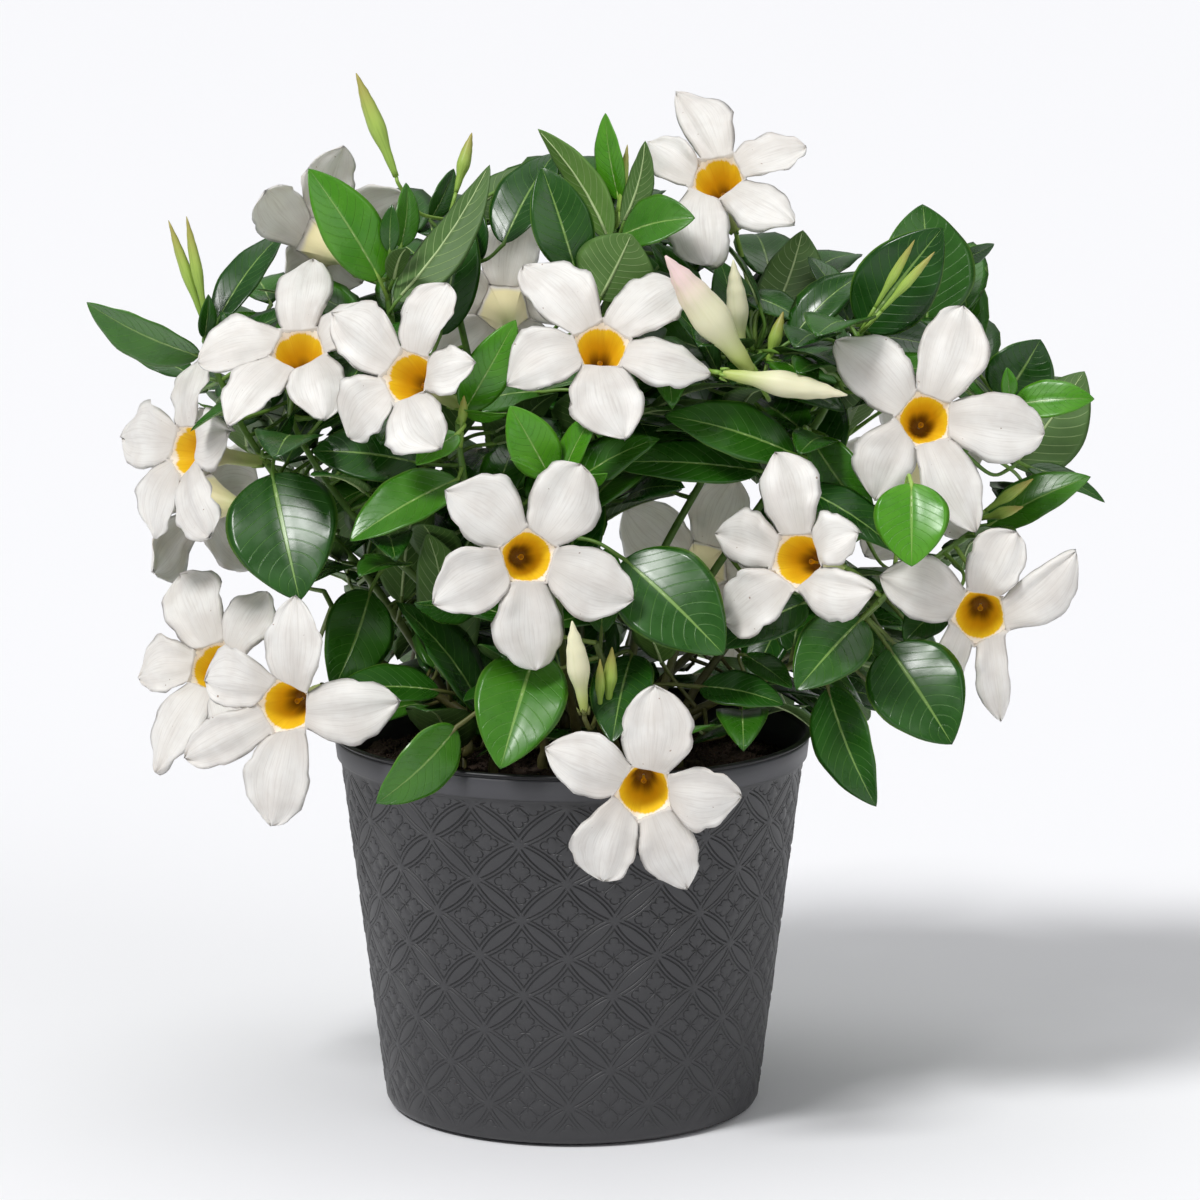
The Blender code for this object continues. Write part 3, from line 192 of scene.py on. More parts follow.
# Leaves that can be told apart in the photograph: foot, tip, width and turn about the midrib
LEAVES = [
    ((-150, 131, 52), (-136, 67, 78), 58, 4),
    ((-186, 190, 12), (-243, 217, 22), 34, -48),
    ((-190, 180, -4), (-221, 192, -16), 18, 38),
    ((-178, 206, -8), (-144, 252, -34), 24, -40),
    ((-184, 199, 8), (-182, 221, 18), 10, 20),
    ((-96, 228, 32), (-132, 284, 46), 33, 16),
    ((-88, 217, 40), (-41, 286, 24), 32, 138),
    ((-66, 200, 4), (-55, 265, -12), 29, 12),
    ((-47, 236, -14), (-50, 270, -22), 19, -24),
    ((-71, 258, -18), (-59, 284, -26), 14, 30),
    ((-58, 258, -26), (-22, 286, -46), 28, 150),
    ((-34, 246, -12), (-8, 292, -36), 34, -36),
    ((2, 232, 44), (-15, 285, 46), 32, 8),
    ((19, 248, 30), (-17, 304, 22), 24, 142),
    ((24, 268, 28), (17, 312, 30), 18, -34),
    ((26, 256, 34), (37, 298, 48), 20, 140),
    ((25, 250, 38), (62, 259, 62), 32, -38),
    ((14, 218, 40), (30, 251, 50), 44, 172),
    ((102, 212, 12), (116, 253, -10), 36, 156),
    ((88, 220, 10), (116, 207, 22), 20, -44),
    ((84, 196, -8), (74, 238, -14), 26, 24),
    ((146, 203, 40), (186, 254, 58), 43, -8),
    ((178, 206, 14), (176, 266, 6), 50, 14),
    ((192, 238, -8), (212, 246, -12), 12, 40),
    ((147, 200, 26), (190, 192, 44), 30, -46),
    ((216, 168, 8), (235, 198, 22), 38, 18),
    ((221, 165, 26), (262, 168, 36), 22, -24),
    ((219, 168, 32), (218, 184, 38), 9, 20),
    ((221, 134, -12), (257, 182, -20), 44, 166),
    ((208, 104, 22), (260, 129, 32), 28, -32),
    ((228, 134, 2), (267, 116, 10), 16, -50),
    ((212, 112, -8), (246, 121, -12), 20, -40),
    ((170, 126, 92), (170, 84, 102), 38, 0),
    ((121, 147, 58), (153, 105, 72), 34, 28),
    ((113, 124, 70), (165, 90, 84), 30, -46),
    ((117, 66, 100), (75, 43, 112), 32, 36),
    ((145, 58, 86), (112, 22, 108), 36, 14),
    ((158, 44, 70), (190, -5, 88), 50, -10),
    ((128, 24, 74), (152, -36, 86), 36, 34),
    ((189, 66, 56), (166, 46, 62), 24, 30),
    ((26, 88, 96), (76, 40, 116), 50, -14),
    ((64, 24, 82), (106, 15, 96), 26, -44),
    ((86, 40, 68), (110, 23, 84), 18, -40),
    ((-18, 42, 104), (-36, -17, 130), 46, 6),
    ((30, 40, 84), (20, -4, 122), 32, 18),
    ((-58, 4, 112), (-98, -34, 122), 32, -30),
    ((-66, 22, 70), (-120, 21, 80), 28, 44),
    ((-101, 72, 36), (-120, 22, 54), 38, -20),
    ((-57, 128, 84), (-111, 97, 98), 34, 40),
    ((-77, 136, 62), (-130, 142, 62), 34, 26),
    ((-57, 151, 98), (-78, 135, 108), 18, 36),
    ((-54, 162, 78), (-28, 208, 88), 24, 6),
    ((-55, 162, 88), (-32, 161, 98), 12, 60),
    ((-11, 129, 96), (-31, 165, 106), 26, 6),
    ((-5, 128, 98), (13, 163, 110), 18, -38),
    ((-10, 125, 106), (-31, 138, 140), 12, 64),
    ((-2, 126, 102), (18, 131, 116), 13, 50),
    ((-42, 68, 96), (-79, 66, 112), 26, -54),
    ((112, 140, 66), (46, 160, 74), 34, 36),
    ((94, 132, 58), (15, 136, 58), 28, 36),
    ((-147, 174, 44), (-191, 152, 62), 20, 76),
    ((-155, 142, 24), (-139, 163, 22), 14, 70),
    ((-91, 242, 34), (-90, 266, 38), 11, -16),
    ((-86, 244, 22), (-83, 277, 18), 17, 36),
]

# The plant's outline as the eye sees it, across and up. Added leaves stay inside it.
OUTLINE = [
    (-190, 190), (-180, 218), (-148, 250), (-120, 266), (-86, 284), (-50, 292), (-6, 296),
    (34, 300), (64, 268), (118, 250), (144, 240), (164, 260), (204, 254), (214, 218), (244, 188),
    (262, 158), (254, 122), (234, 102), (196, 88), (190, 48), (194, 8), (154, -4), (124, -14),
    (112, -2), (78, -16), (-6, -20), (-60, -26), (-100, -10), (-120, 22), (-110, 68), (-160, 72),
    (-178, 108), (-190, 150),
]

ADDED_LEAVES = 40
LEAF_ROWS = (0.2, 0.5, 0.8)
SMALL_LEAF_ROWS = (0.3, 0.68)
SMALL_LEAF = 64.0
LOBE_LAG = 0.1
ROOM_ROUNDS = 14
ROOM_STEP = 0.94
ROOM_PLACES = (0.3, 0.42)
ROOM_ANGLE = 0.0
PETAL_ROWS = (0.42, 0.75)

# Moves towards the eye and tilts of the tip that a leaf tries until it is clear
LEAF_TRIES = (
    (0, 0), (4, 0), (-4, 0), (8, 0), (-8, 0), (0, 8), (0, -8), (12, 0), (-12, 0),
    (5, 12), (-5, 12), (5, -12), (-5, -12), (17, 0), (-17, 0), (24, 6), (-24, -6),
)

# Rows of LEAVES that are young and light green, and rows that are half way there
YOUNG_LEAVES = (5, 14, 26, 27, 32, 50, 51, 52, 53, 54, 55, 56)
HALF_YOUNG_LEAVES = (1, 13, 16, 29, 33, 43, 45, 48, 63)

# How pink the tip of each large bud is
BUD_TONES = (1.0, 0.0, 0.1, 0.0, 0.0)

# The middle of the photograph, across and up from the rim
PICTURE_CENTRE = (14.0, 67.5, 0.0)

# Where the wall's lattice starts round the planter
PATTERN_TURN = math.radians(-91.1)


def seen(place):
    """The point that the eye sees across and up from the rim, this far towards it."""
    across, up, toward = place
    flat = VIEW_CENTRE + Vector((across, 0.0, 0.0)) + VIEW_UP * up
    return EYE + (flat - EYE) * ((EYE_DISTANCE - toward) / EYE_DISTANCE)


def seen_direction(parts):
    across, up, toward = parts
    return (Vector((across, 0.0, 0.0)) + VIEW_UP * up + VIEW_OUT * toward).normalized()


def as_seen(point):
    """Where the eye sees a point, across and up from the middle of the rim band."""
    ray = point - EYE
    ray *= EYE_DISTANCE / -ray.dot(VIEW_OUT)
    flat = EYE + ray - VIEW_CENTRE
    return flat.x, flat.dot(VIEW_UP)


def inside_outline(point):
    x, y = as_seen(point)
    inside = False
    for (x0, y0), (x1, y1) in zip(OUTLINE, OUTLINE[1:] + OUTLINE[:1]):
        if (y0 > y) != (y1 > y) and x < x0 + (x1 - x0) * (y - y0) / (y1 - y0):
            inside = not inside
    return inside


def smooth_path(points, count):
    """Points along a smooth curve through the given ones."""
    ends = [points[0] * 2 - points[1]] + list(points) + [points[-1] * 2 - points[-2]]
    path = []
    for step in range(count):
        place = step / (count - 1) * (len(points) - 1)
        i = min(int(place), len(points) - 2)
        t = place - i
        a, b, c, d = ends[i : i + 4]
        path.append(
            0.5 * (2 * b + (c - a) * t + (2 * a - 5 * b + 4 * c - d) * t**2 + (3 * b - a - 3 * c + d) * t**3)
        )
    return path


def bent_path(start, end, end_direction, count, straight=0.0):
    """A stalk that leaves its stem, bends and arrives along end_direction, the last of it straight."""
    turned = end - end_direction * straight
    middle = turned - end_direction * (turned - start).length * 0.45
    points = []
    for i in range(count):
        t = i / (count - 1)
        points.append(start * (1 - t) ** 2 + middle * 2 * t * (1 - t) + turned * t**2)
    return points + ([end] if straight else [])


class Space:
    """What is already placed, so that each new piece is kept clear of it."""

    def __init__(self):
        self.sheets = []
        self.rods = []
        self.gap = LEAF_GAP

    def add_sheet(self, points, triangles):
        tree = BVHTree.FromPolygons(points, triangles)
        self.sheets.append((tree, box_of(points), probes_of(points, triangles)))

    def add_rod(self, points, radius, owner):
        self.rods.append((np.array(points), box_of(points), radius, owner))

    def sheet_is_clear(self, points, triangles, owner):
        tree = BVHTree.FromPolygons(points, triangles)
        box = box_of(points)
        probes = probes_of(points, triangles)
        for other, other_box, other_probes in self.sheets:
            if apart(box, other_box, self.gap):
                continue
            if tree.overlap(other) or near(other, probes, self.gap) or near(tree, other_probes, self.gap):
                return False
        for rod, rod_box, radius, rod_owner in self.rods:
            if rod_owner == owner or apart(box, rod_box, radius + self.gap):
                continue
            if near(tree, rod, radius + self.gap):
                return False
        return True

    def rod_is_clear(self, points, radius, owner):
        box = box_of(points)
        for tree, other_box, _ in self.sheets:
            if not apart(box, other_box, radius + self.gap) and near(tree, points, radius + self.gap):
                return False
        rows = np.array(points)
        for rod, rod_box, rod_radius, rod_owner in self.rods:
            reach = radius + rod_radius + self.gap
            if rod_owner == owner or apart(box, rod_box, reach):
                continue
            if np.min(np.linalg.norm(rows[:, None] - rod[None], axis=2)) < reach:
                return False
        return True


def box_of(points):
    rows = np.array(points)
    return rows.min(axis=0), rows.max(axis=0)


def apart(a, b, gap):
    return bool(np.any(a[0] > b[1] + gap) or np.any(b[0] > a[1] + gap))


def near(tree, probes, distance):
    for probe in probes:
        if tree.find_nearest(Vector(probe), distance)[0] is not None:
            return True
    return False


def probes_of(points, triangles):
    probes = list(points)
    for a, b, c in triangles:
        probes.append((points[a] + points[b] + points[c]) / 3)
        probes.append((points[a] + points[b]) / 2)
        probes.append((points[b] + points[c]) / 2)
        probes.append((points[c] + points[a]) / 2)
    return probes


def dense(points, step=3.0):
    """The same broken line with a point every few millimetres."""
    line = [points[0]]
    for a, b in zip(points, points[1:]):
        parts = max(1, int((b - a).length / step))
        line.extend(a.lerp(b, (i + 1) / parts) for i in range(parts))
    return line


class Leaf:
    """One blade: its frame, its size and the ways that it bends."""

    def __init__(self, base, tip, width, turn, facing, arch=0.07, fold=0.16, seed=0):
        draw = random.Random(seed)
        self.base = base
        self.along = (tip - base).normalized()
        self.length = (tip - base).length
        self.width = width
        flat = (facing - self.along * facing.dot(self.along)).normalized()
        self.normal = Matrix.Rotation(math.radians(turn), 3, self.along) @ flat
        self.side = self.along.cross(self.normal)
        self.arch = arch * draw.uniform(0.7, 1.3)
        self.fold = fold * draw.uniform(0.6, 1.3)
        self.wave = draw.uniform(0.0, 2 * math.pi)
        self.twist = draw.uniform(-0.25, 0.25)

    def half_width(self, u):
        return self.width * 0.5 * BLADE_FULL * u**0.62 * (1 - u) ** 0.86

    def point(self, u, v):
        """The blade's surface: u runs from foot to tip, v from edge to edge."""
        half = self.half_width(u)
        turn = self.twist * (u - 0.3)
        side = self.side * math.cos(turn) + self.normal * math.sin(turn)
        lift = self.arch * self.length * 4 * u * (1 - u) + self.fold * half * abs(v) ** 1.4
        ripple = 0.05 * half * v * abs(v) * math.sin(5.0 * u + self.wave)
        return self.base + self.along * (self.length * u) + side * (half * v) + self.normal * (lift + ripple)


def blade_sheet(leaf):
    """The blade's middle surface as points and triangles, three points to a row."""
    rows = SMALL_LEAF_ROWS if leaf.length < SMALL_LEAF else LEAF_ROWS
    points = [leaf.point(0.0, 0.0)]
    for u in rows:
        points.extend(leaf.point(u, v) for v in (-1, 0, 1))
    points.append(leaf.point(1.0, 0.0))
    triangles = [(0, 2, 1), (0, 3, 2)]
    for row in range(len(rows) - 1):
        first = 1 + 3 * row
        for i in (first, first + 1):
            triangles.extend([(i, i + 1, i + 4), (i, i + 4, i + 3)])
    last = len(points) - 1
    triangles.extend([(last - 3, last - 2, last), (last - 2, last - 1, last)])
    return points, triangles


class Bloom:
    """One corolla: a tube, a funnel and five lobes that turn like a pinwheel."""

    def __init__(self, place, facing, tips, seed):
        draw = random.Random(seed)
        self.throat = seen(place)
        self.axis = seen_direction(facing)
        view = (EYE - self.throat).normalized()
        reached = []
        for angle, length, *half in tips:
            turn = math.radians(angle)
            sight = Vector((math.cos(turn), 0.0, 0.0)) + VIEW_UP * math.sin(turn)
            slope = -sight.dot(self.axis) / view.dot(self.axis)
            flat = (sight + view * slope) * length
            reached.append((flat * min(1.0, LONGEST_PETAL / flat.length), half))
        self.across = reached[0][0].normalized()
        self.up = self.axis.cross(self.across)
        reached.sort(key=lambda end: self.turn_about(end[0]))
        skew = sum(self.turn_about(end[0]) - 2 * math.pi * i / 5 for i, end in enumerate(reached)) / 5
        self.lobes = []
        for i, end in enumerate(reached):
            self.lobes.append(self.lobe(2 * math.pi * i / 5 + skew - LOBE_LAG, *end, draw))
        for _ in range(ROOM_ROUNDS):
            self.give_room()

    def turn_about(self, spoke):
        """The angle of a direction about the flower's axis."""
        return math.atan2(spoke.dot(self.up), spoke.dot(self.across)) % (2 * math.pi)

    def lobe(self, angle, tip, half, draw):
        full = draw.uniform(17.0, 20.5)
        return {
            "angle": angle,
            "tip": tip,
            "half": half[0] if half else full,
            "bow": draw.uniform(2.0, 5.0),
            "reflex": draw.uniform(-7.0, 1.0),
            "cup": draw.uniform(-3.0, 2.0),
            "wave": draw.uniform(0.0, 2 * math.pi),
            "blunt": draw.random() ** 1.5,
            "trailing": 1.0,
            "leading": 1.0,
        }

    def turn_of(self, lobe, u, v):
        """The angle about the flower's axis of a place on a lobe."""
        return self.turn_about(self.lobe_point(lobe, u, v) - self.throat)

    def give_room(self):
        """Narrows the sides of neighbouring lobes that would pass through one another."""
        for lobe, after in zip(self.lobes, self.lobes[1:] + self.lobes[:1]):
            apart = [self.turn_of(after, u, -1) - self.turn_of(lobe, u, 1) for u in ROOM_PLACES]
            if min((turn + math.pi) % (2 * math.pi) - math.pi for turn in apart) < ROOM_ANGLE:
                lobe["leading"] *= ROOM_STEP
                after["trailing"] *= ROOM_STEP

    def ring_point(self, back, radius, angle):
        spoke = self.across * math.cos(angle) + self.up * math.sin(angle)
        return self.throat - self.axis * back + spoke * radius

    def mouth_point(self, angle, v):
        """The funnel's mouth below one lobe, wider where it meets the next."""
        out = abs(v) ** 3
        return self.ring_point(-SINUS_RISE * out, THROAT_RADIUS + SINUS_OUT * out, angle + v * math.pi / 5)

    def lobe_point(self, lobe, u, v):
        """The lobe's surface: u runs from the mouth to the tip, v from trailing to leading edge."""
        start = self.mouth_point(lobe["angle"], 0.0) - self.throat
        mouth = self.mouth_point(lobe["angle"], v) - self.throat
        side = self.axis.cross((lobe["tip"] - start).normalized())
        share = lobe_share(u, v, lobe["blunt"]) * lobe["trailing" if v < 0 else "leading"]
        fade = (1 - u) ** 6
        lift = lobe["bow"] * math.sin(math.pi * u) + lobe["reflex"] * u * u
        lift += (lobe["cup"] * v * v + 1.6 * v * abs(v) * math.sin(6 * u + lobe["wave"])) * share
        lift -= LOBE_OVERLAP * v * math.sin(math.pi * min(1.0, 1.6 * u))
        flat = (start.lerp(lobe["tip"], u) + side * (lobe["half"] * share * v)) * (1 - fade) + mouth * fade
        return self.throat + flat + self.axis * lift * (1 - fade)


def lobe_share(u, v, blunt):
    """The half width at a place, as a share of the lobe's own, between a pointed and a blunt lobe's."""
    pointed, rounded = (LEADING_POINTED, LEADING_BLUNT) if v > 0 else (TRAILING_POINTED, TRAILING_BLUNT)
    return (1 - blunt) * np.interp(u, LOBE_PLACES, pointed) + blunt * np.interp(u, LOBE_PLACES, rounded)


def bloom_surface(bloom):
    """Tube, funnel and lobes as one open surface."""
    points = []
    triangles = []
    for back, radius in ((TUBE_LENGTH, TUBE_RADIUS), (NECK_BACK, NECK_RADIUS)):
        for lobe in bloom.lobes:
            points.append(bloom.ring_point(back, radius, lobe["angle"]))
    for lobe in bloom.lobes:
        points.append(bloom.mouth_point(lobe["angle"], -1.0))
        points.append(bloom.mouth_point(lobe["angle"], 0.0))
    for i in range(5):
        a, b = i, (i + 1) % 5
        triangles.extend([(a, b, b + 5), (a, b + 5, a + 5)])
        edge, middle, next_edge = 10 + 2 * i, 11 + 2 * i, 10 + (2 * i + 2) % 10
        triangles.extend([(a + 5, middle, edge), (a + 5, next_edge, middle), (a + 5, b + 5, next_edge)])
    for k, lobe in enumerate(bloom.lobes):
        row = [10 + 2 * k, 11 + 2 * k, 10 + (2 * k + 2) % 10]
        for u in PETAL_ROWS:
            new = [len(points) + i for i in range(3)]
            points.extend(bloom.lobe_point(lobe, u, v) for v in (-1, 0, 1))
            for i in range(2):
                triangles.extend([(row[i], row[i + 1], new[i + 1]), (row[i], new[i + 1], new[i])])
            row = new
        points.append(bloom.lobe_point(lobe, 1.0, 0.0))
        tip = len(points) - 1
        triangles.extend([(row[0], row[1], tip), (row[1], row[2], tip)])
    return points, triangles


def wall_radius(height):
    return WALL_FOOT_RADIUS + WALL_FLARE * height


def soil_radius(height):
    """Clear of the flats of the planter's faceted wall."""
    return (wall_radius(height) - WALL) * math.cos(math.pi / POT_STEPS) - GAP


def shoot_path(angle, reach, places):
    """A stem that stands straight in the soil and then follows its own places."""
    turn = math.radians(angle)
    foot = Vector((math.cos(turn), math.sin(turn), 0.0)) * STEM_SPREAD * reach
    low = foot + Vector((0.0, 0.0, SOIL_TOP - ROOT_DEPTH))
    ground = foot + Vector((0.0, 0.0, SOIL_TOP + 4.0))
    above = smooth_path([ground, ground + Vector((0, 0, 14.0))] + [seen(p) for p in places], 8)
    return [low] + above


def stem_radius(share):
    return STEM_FOOT_RADIUS + (STEM_TIP_RADIUS - STEM_FOOT_RADIUS) * share


def add_obstacles(space):
    """The planter's rim and wall and the soil's top, which leaves are kept clear of."""
    rim = [(RIM_RADIUS - 3.0, POT_HEIGHT), (RIM_RADIUS, POT_HEIGHT)]
    rings = [(0.0, SOIL_TOP), (110.0, SOIL_TOP)] + rim + [(WALL_FOOT_RADIUS, 0.0)]
    count = POT_STEPS
    points = []
    triangles = []
    for radius, height in rings:
        for i in range(count):
            angle = 2 * math.pi * i / count
            points.append(Vector((radius * math.cos(angle), radius * math.sin(angle), height)))
    for ring in range(len(rings) - 1):
        for i in range(count):
            a, b = ring * count + i, ring * count + (i + 1) % count
            if ring:
                triangles.append((a, b, b + count))
            triangles.append((a, b + count, a + count))
    space.add_sheet(points, triangles)


def nearest_on(shoots, place, low=0.3):
    """The shoot that passes closest to a place, and the point on it."""
    best = None
    for name, path in shoots.items():
        line = dense(path)
        for point in line[int(low * len(line)) :]:
            distance = (point - place).length
            if best is None or distance < best[0]:
                best = (distance, name, point)
    return best[1], best[2]


def plan_blooms(shoots, space):
    """Blooms take their places first, each on the shoot that passes closest."""
    plans = []
    for index, (place, facing, tips) in enumerate(BLOOMS):
        bloom = Bloom(place, facing, tips, SEED + index)
        points, triangles = bloom_surface(bloom)
        base = bloom.throat - bloom.axis * TUBE_LENGTH
        owner, start = nearest_on(shoots, base - bloom.axis * FLOWER_STALK_LEAD)
        end = base - bloom.axis * (GAP + 0.15)
        stalk = bent_path(start, end, bloom.axis, 3, CALYX_LENGTH)
        space.add_sheet(points, triangles)
        plans.append({"bloom": bloom, "surface": (points, triangles), "owner": owner, "stalk": stalk})
    return plans


def bud_path(foot, tip):
    return [foot.lerp(tip, t) for t in BUD_PLACES]


def plan_buds(table, shoots, space):
    plans = []
    for foot, tip, width in table:
        foot, tip = seen(foot), seen(tip)
        direction = (tip - foot).normalized()
        owner, start = nearest_on(shoots, foot - direction * BUD_STALK_LEAD)
        stalk = bent_path(start, foot, direction, 3, CALYX_LENGTH)
        space.add_rod(dense(bud_path(foot, tip)), width / 2, owner)
        plans.append({"foot": foot, "tip": tip, "width": width, "owner": owner, "stalk": stalk})
    return plans


def stalk_to(leaf, shoots, owner=None, start=None):
    """The stalk that carries a leaf, from inside its stem to the blade's foot."""
    if start is None:
        owner, start = nearest_on(shoots, leaf.base - leaf.along * PETIOLE_LEAD)
    reach = (leaf.base - start).length
    return owner, bent_path(start, leaf.base, leaf.along, 2 if reach < 16 else 3)


def faces_eye(point):
    return (EYE - point).normalized()


def shifted(point, toward):
    """The same place as the eye sees it, moved towards the eye."""
    return point + (EYE - point).normalized() * toward


def plan_leaves(shoots, space):
    """Leaves known from the photograph keep the place that is seen and give way in depth."""
    plans = []
    for index, (foot, tip, width, turn) in enumerate(LEAVES):
        found = None
        for move, tilt in LEAF_TRIES:
            base = shifted(seen(foot), move - tilt * 0.5)
            end = shifted(seen(tip), move + tilt)
            leaf = Leaf(base, end, width, turn, faces_eye(base), seed=SEED + index)
            owner, stalk = stalk_to(leaf, shoots)
            sheet = blade_sheet(leaf)
            clear = space.sheet_is_clear(*sheet, owner)
            if clear and space.rod_is_clear(dense(stalk)[1:-1] or stalk, STALK_WIDTH / 2, owner):
                found = (leaf, owner, stalk, sheet)
                break
        if found is None:
            raise ValueError(f"leaf {index} has no room")
        leaf, owner, stalk, sheet = found
        space.add_sheet(*sheet)
        space.add_rod(dense(stalk), STALK_WIDTH / 2, owner)
        plans.append({"leaf": leaf, "owner": owner, "stalk": stalk, "row": index})
    return plans


def merged_tree(sheets):
    points = []
    triangles = []
    for sheet_points, sheet_triangles in sheets:
        start = len(points)
        points.extend(sheet_points)
        triangles.extend(tuple(i + start for i in t) for t in sheet_triangles)
    return BVHTree.FromPolygons(points, triangles)


def hides(tree, points):
    """How many of the points stand before something in the tree, as the eye sees them."""
    return sum(tree.ray_cast(p, (p - EYE).normalized())[0] is not None for p in points)


def plan_added_leaves(shoots, space, blooms, leaves):
    """Pairs of leaves up each shoot, turned a quarter from pair to pair, wherever there is room."""
    draw = random.Random(SEED)
    flowers = merged_tree([plan["surface"] for plan in blooms])
    known = merged_tree([blade_sheet(plan["leaf"]) for plan in leaves])
    slots = []
    for order, (name, path) in enumerate(shoots.items()):
        line = dense(path, 2.0)
        height = 24
        pair = 0
        while height < len(line) - 1:
            for half in (0, 1):
                slots.append((draw.random(), name, height, pair * math.pi / 2 + half * math.pi + order, half))
            height += 9 + draw.randrange(4)
            pair += 1
    slots.sort()
    plans = []
    for _, name, height, azimuth, _ in slots:
        if len(plans) >= ADDED_LEAVES:
            break
        line = dense(shoots[name], 2.0)
        start = line[height]
        stem_way = (line[min(height + 2, len(line) - 1)] - line[height - 2]).normalized()
        share = height / len(line)
        size = draw.uniform(58, 82) * (1.0 if share < 0.75 else 0.72)
        bend = draw.uniform(-0.15, 0.35)
        for trial in range(10):
            spin = azimuth + (0.0, 0.5, -0.5, 0.9, -0.9)[trial % 5]
            scale = 1.0 if trial < 5 else 0.72
            leaf = added_leaf(start, stem_way, spin, size * scale, bend, SEED + ADDED_SEED + len(plans))
            sheet = blade_sheet(leaf)
            if not all(inside_outline(p) for p in sheet[0]):
                continue
            if hides(flowers, sheet[0]) or hides(known, sheet[0]) > 2:
                continue
            stalk = [start, leaf.base]
            if not space.sheet_is_clear(*sheet, name):
                continue
            if not space.rod_is_clear(dense(stalk)[1:] or stalk, STALK_WIDTH / 2, name):
                continue
            space.add_sheet(*sheet)
            space.add_rod(dense(stalk), STALK_WIDTH / 2, name)
            plans.append({"leaf": leaf, "owner": name, "stalk": stalk})
            break
    return plans


def added_leaf(start, stem_way, spin, size, bend, seed):
    across = stem_way.orthogonal().normalized()
    over = stem_way.cross(across)
    out = across * math.cos(spin) + over * math.sin(spin)
    up = Vector((0.0, 0.0, 1.0))
    way = (out + stem_way * 0.55 - up * bend).normalized()
    base = start + way * PETIOLE_LEAD
    facing = up - way * up.dot(way) + Vector((0.001, 0.0, 0.0))
    return Leaf(base, base + way * size, size * 0.42, 0.0, facing, arch=0.1, seed=seed)


# Fine leaves, petals and stems
LEAF_RISE = 22
LEAF_ACROSS = 12
FINE_LEAF = 0.55
RIB_PLACES = (0.05, 0.2, 0.4, 0.6, 0.8, 0.96)
FINE_PETAL = 0.6
LOBE_RISE = 20
LOBE_ACROSS = 14
THROAT_SIDES = 40
FLARE_DEPTH = 14.0

# The tube and funnel behind the mouth: depth and radius
FUNNEL = (
    (TUBE_LENGTH, TUBE_RADIUS), (35.0, 3.2), (NECK_BACK, NECK_RADIUS), (19.0, 5.9),
    (12.0, 8.6), (6.0, 10.6), (2.5, 11.5),
)
STEM_SIDES = 10
STALK_SIDES = 8

# Extra small leaves
SMALL_LEAVES = 420
SMALL_LEAF_TRIES = 16000
SMALL_LEAF_LENGTH = (42.0, 82.0)
SMALL_LEAF_STALK = 60.0
SMALL_LEAF_GAP = 0.3
SMALL_LEAF_RISE = 8
SMALL_LEAF_ACROSS = 6

# Planter relief: cells round the wall, height of a cell and depth of the moulding
CELLS_ROUND = 15
CELL_HEIGHT = 38.4
CELL_TOP = 173.7
RELIEF_DEPTH = 0.9
LENS_ARC = 1.363
LENS_SAGITTA = 0.095

# One petal of the moulding's flower, as discs in a cell: out from its middle, aside and radius
PETAL_DISCS = ((0.45, 0.0, 0.095), (0.32, 0.12, 0.085), (0.27, 0.0, 0.12))

WALL_ROUND = 600
WALL_ROWS = 132
WALL_FOOT = 4.0
POLE = 0.4

# The peat's rough top: rings and places round each
SOIL_RINGS = 70
SOIL_ROUND = 160

# The lip's rounding from the rim's corner, and the groove below it from the band's top: out and up
LIP = ((-3.6, -1.4), (-3.3, -0.3), (-2.6, 0.0), (-0.8, 0.0), (-0.2, -0.2), (0.0, -0.7))
GROOVE = ((-0.9, 1.4), (-2.2, 1.0), (-2.3, 0.5), (-1.9, 0.1), (-1.5, -0.6))


def linear(colour):
    """A screen colour such as 2E7A22 as linear light."""
    parts = [int(colour[i : i + 2], 16) / 255 for i in (0, 2, 4)]
    return tuple(c / 12.92 if c <= 0.04045 else ((c + 0.055) / 1.055) ** 2.4 for c in parts)


class Skin:
    """Collects the faces of one piece, with where each lies on its leaf or petal."""

    def __init__(self):
        self.points = []
        self.faces = []
        self.finish = []
        self.places = []
        self.tones = []
        self.count = 0

    def add(self, points, faces, finish, places=None, tone=0.0):
        points = np.asarray(points, float).reshape(-1, 3)
        self.points.append(points)
        self.faces.extend([tuple(i + self.count for i in face) for face in faces])
        if isinstance(finish, int):
            finish = [finish] * len(faces)
        self.finish.extend(finish)
        self.places.append(np.zeros((len(points), 2)) if places is None else np.asarray(places, float))
        self.tones.append(np.full(len(points), tone) if np.isscalar(tone) else np.asarray(tone))
        self.count += len(points)

    def build(self, name, materials):
        """The piece as one smooth mesh at the origin."""
        mesh = bpy.data.meshes.new(name)
        mesh.from_pydata((np.concatenate(self.points) * MM).tolist(), [], self.faces)
        mesh.polygons.foreach_set("material_index", self.finish)
        mesh.polygons.foreach_set("use_smooth", [True] * len(self.faces))
        places = np.concatenate(self.places)
        layer = mesh.attributes.new("place", "FLOAT_VECTOR", "POINT")
        layer.data.foreach_set("vector", np.column_stack([places, np.zeros(len(places))]).ravel())
        layer = mesh.attributes.new("tone", "FLOAT", "POINT")
        layer.data.foreach_set("value", np.concatenate(self.tones))
        weld = bmesh.new()
        weld.from_mesh(mesh)
        bmesh.ops.remove_doubles(weld, verts=weld.verts, dist=0.00001)
        weld.to_mesh(mesh)
        weld.free()
        for made in materials:
            mesh.materials.append(made)
        piece = bpy.data.objects.new(name, mesh)
        bpy.context.scene.collection.objects.link(piece)
        return piece


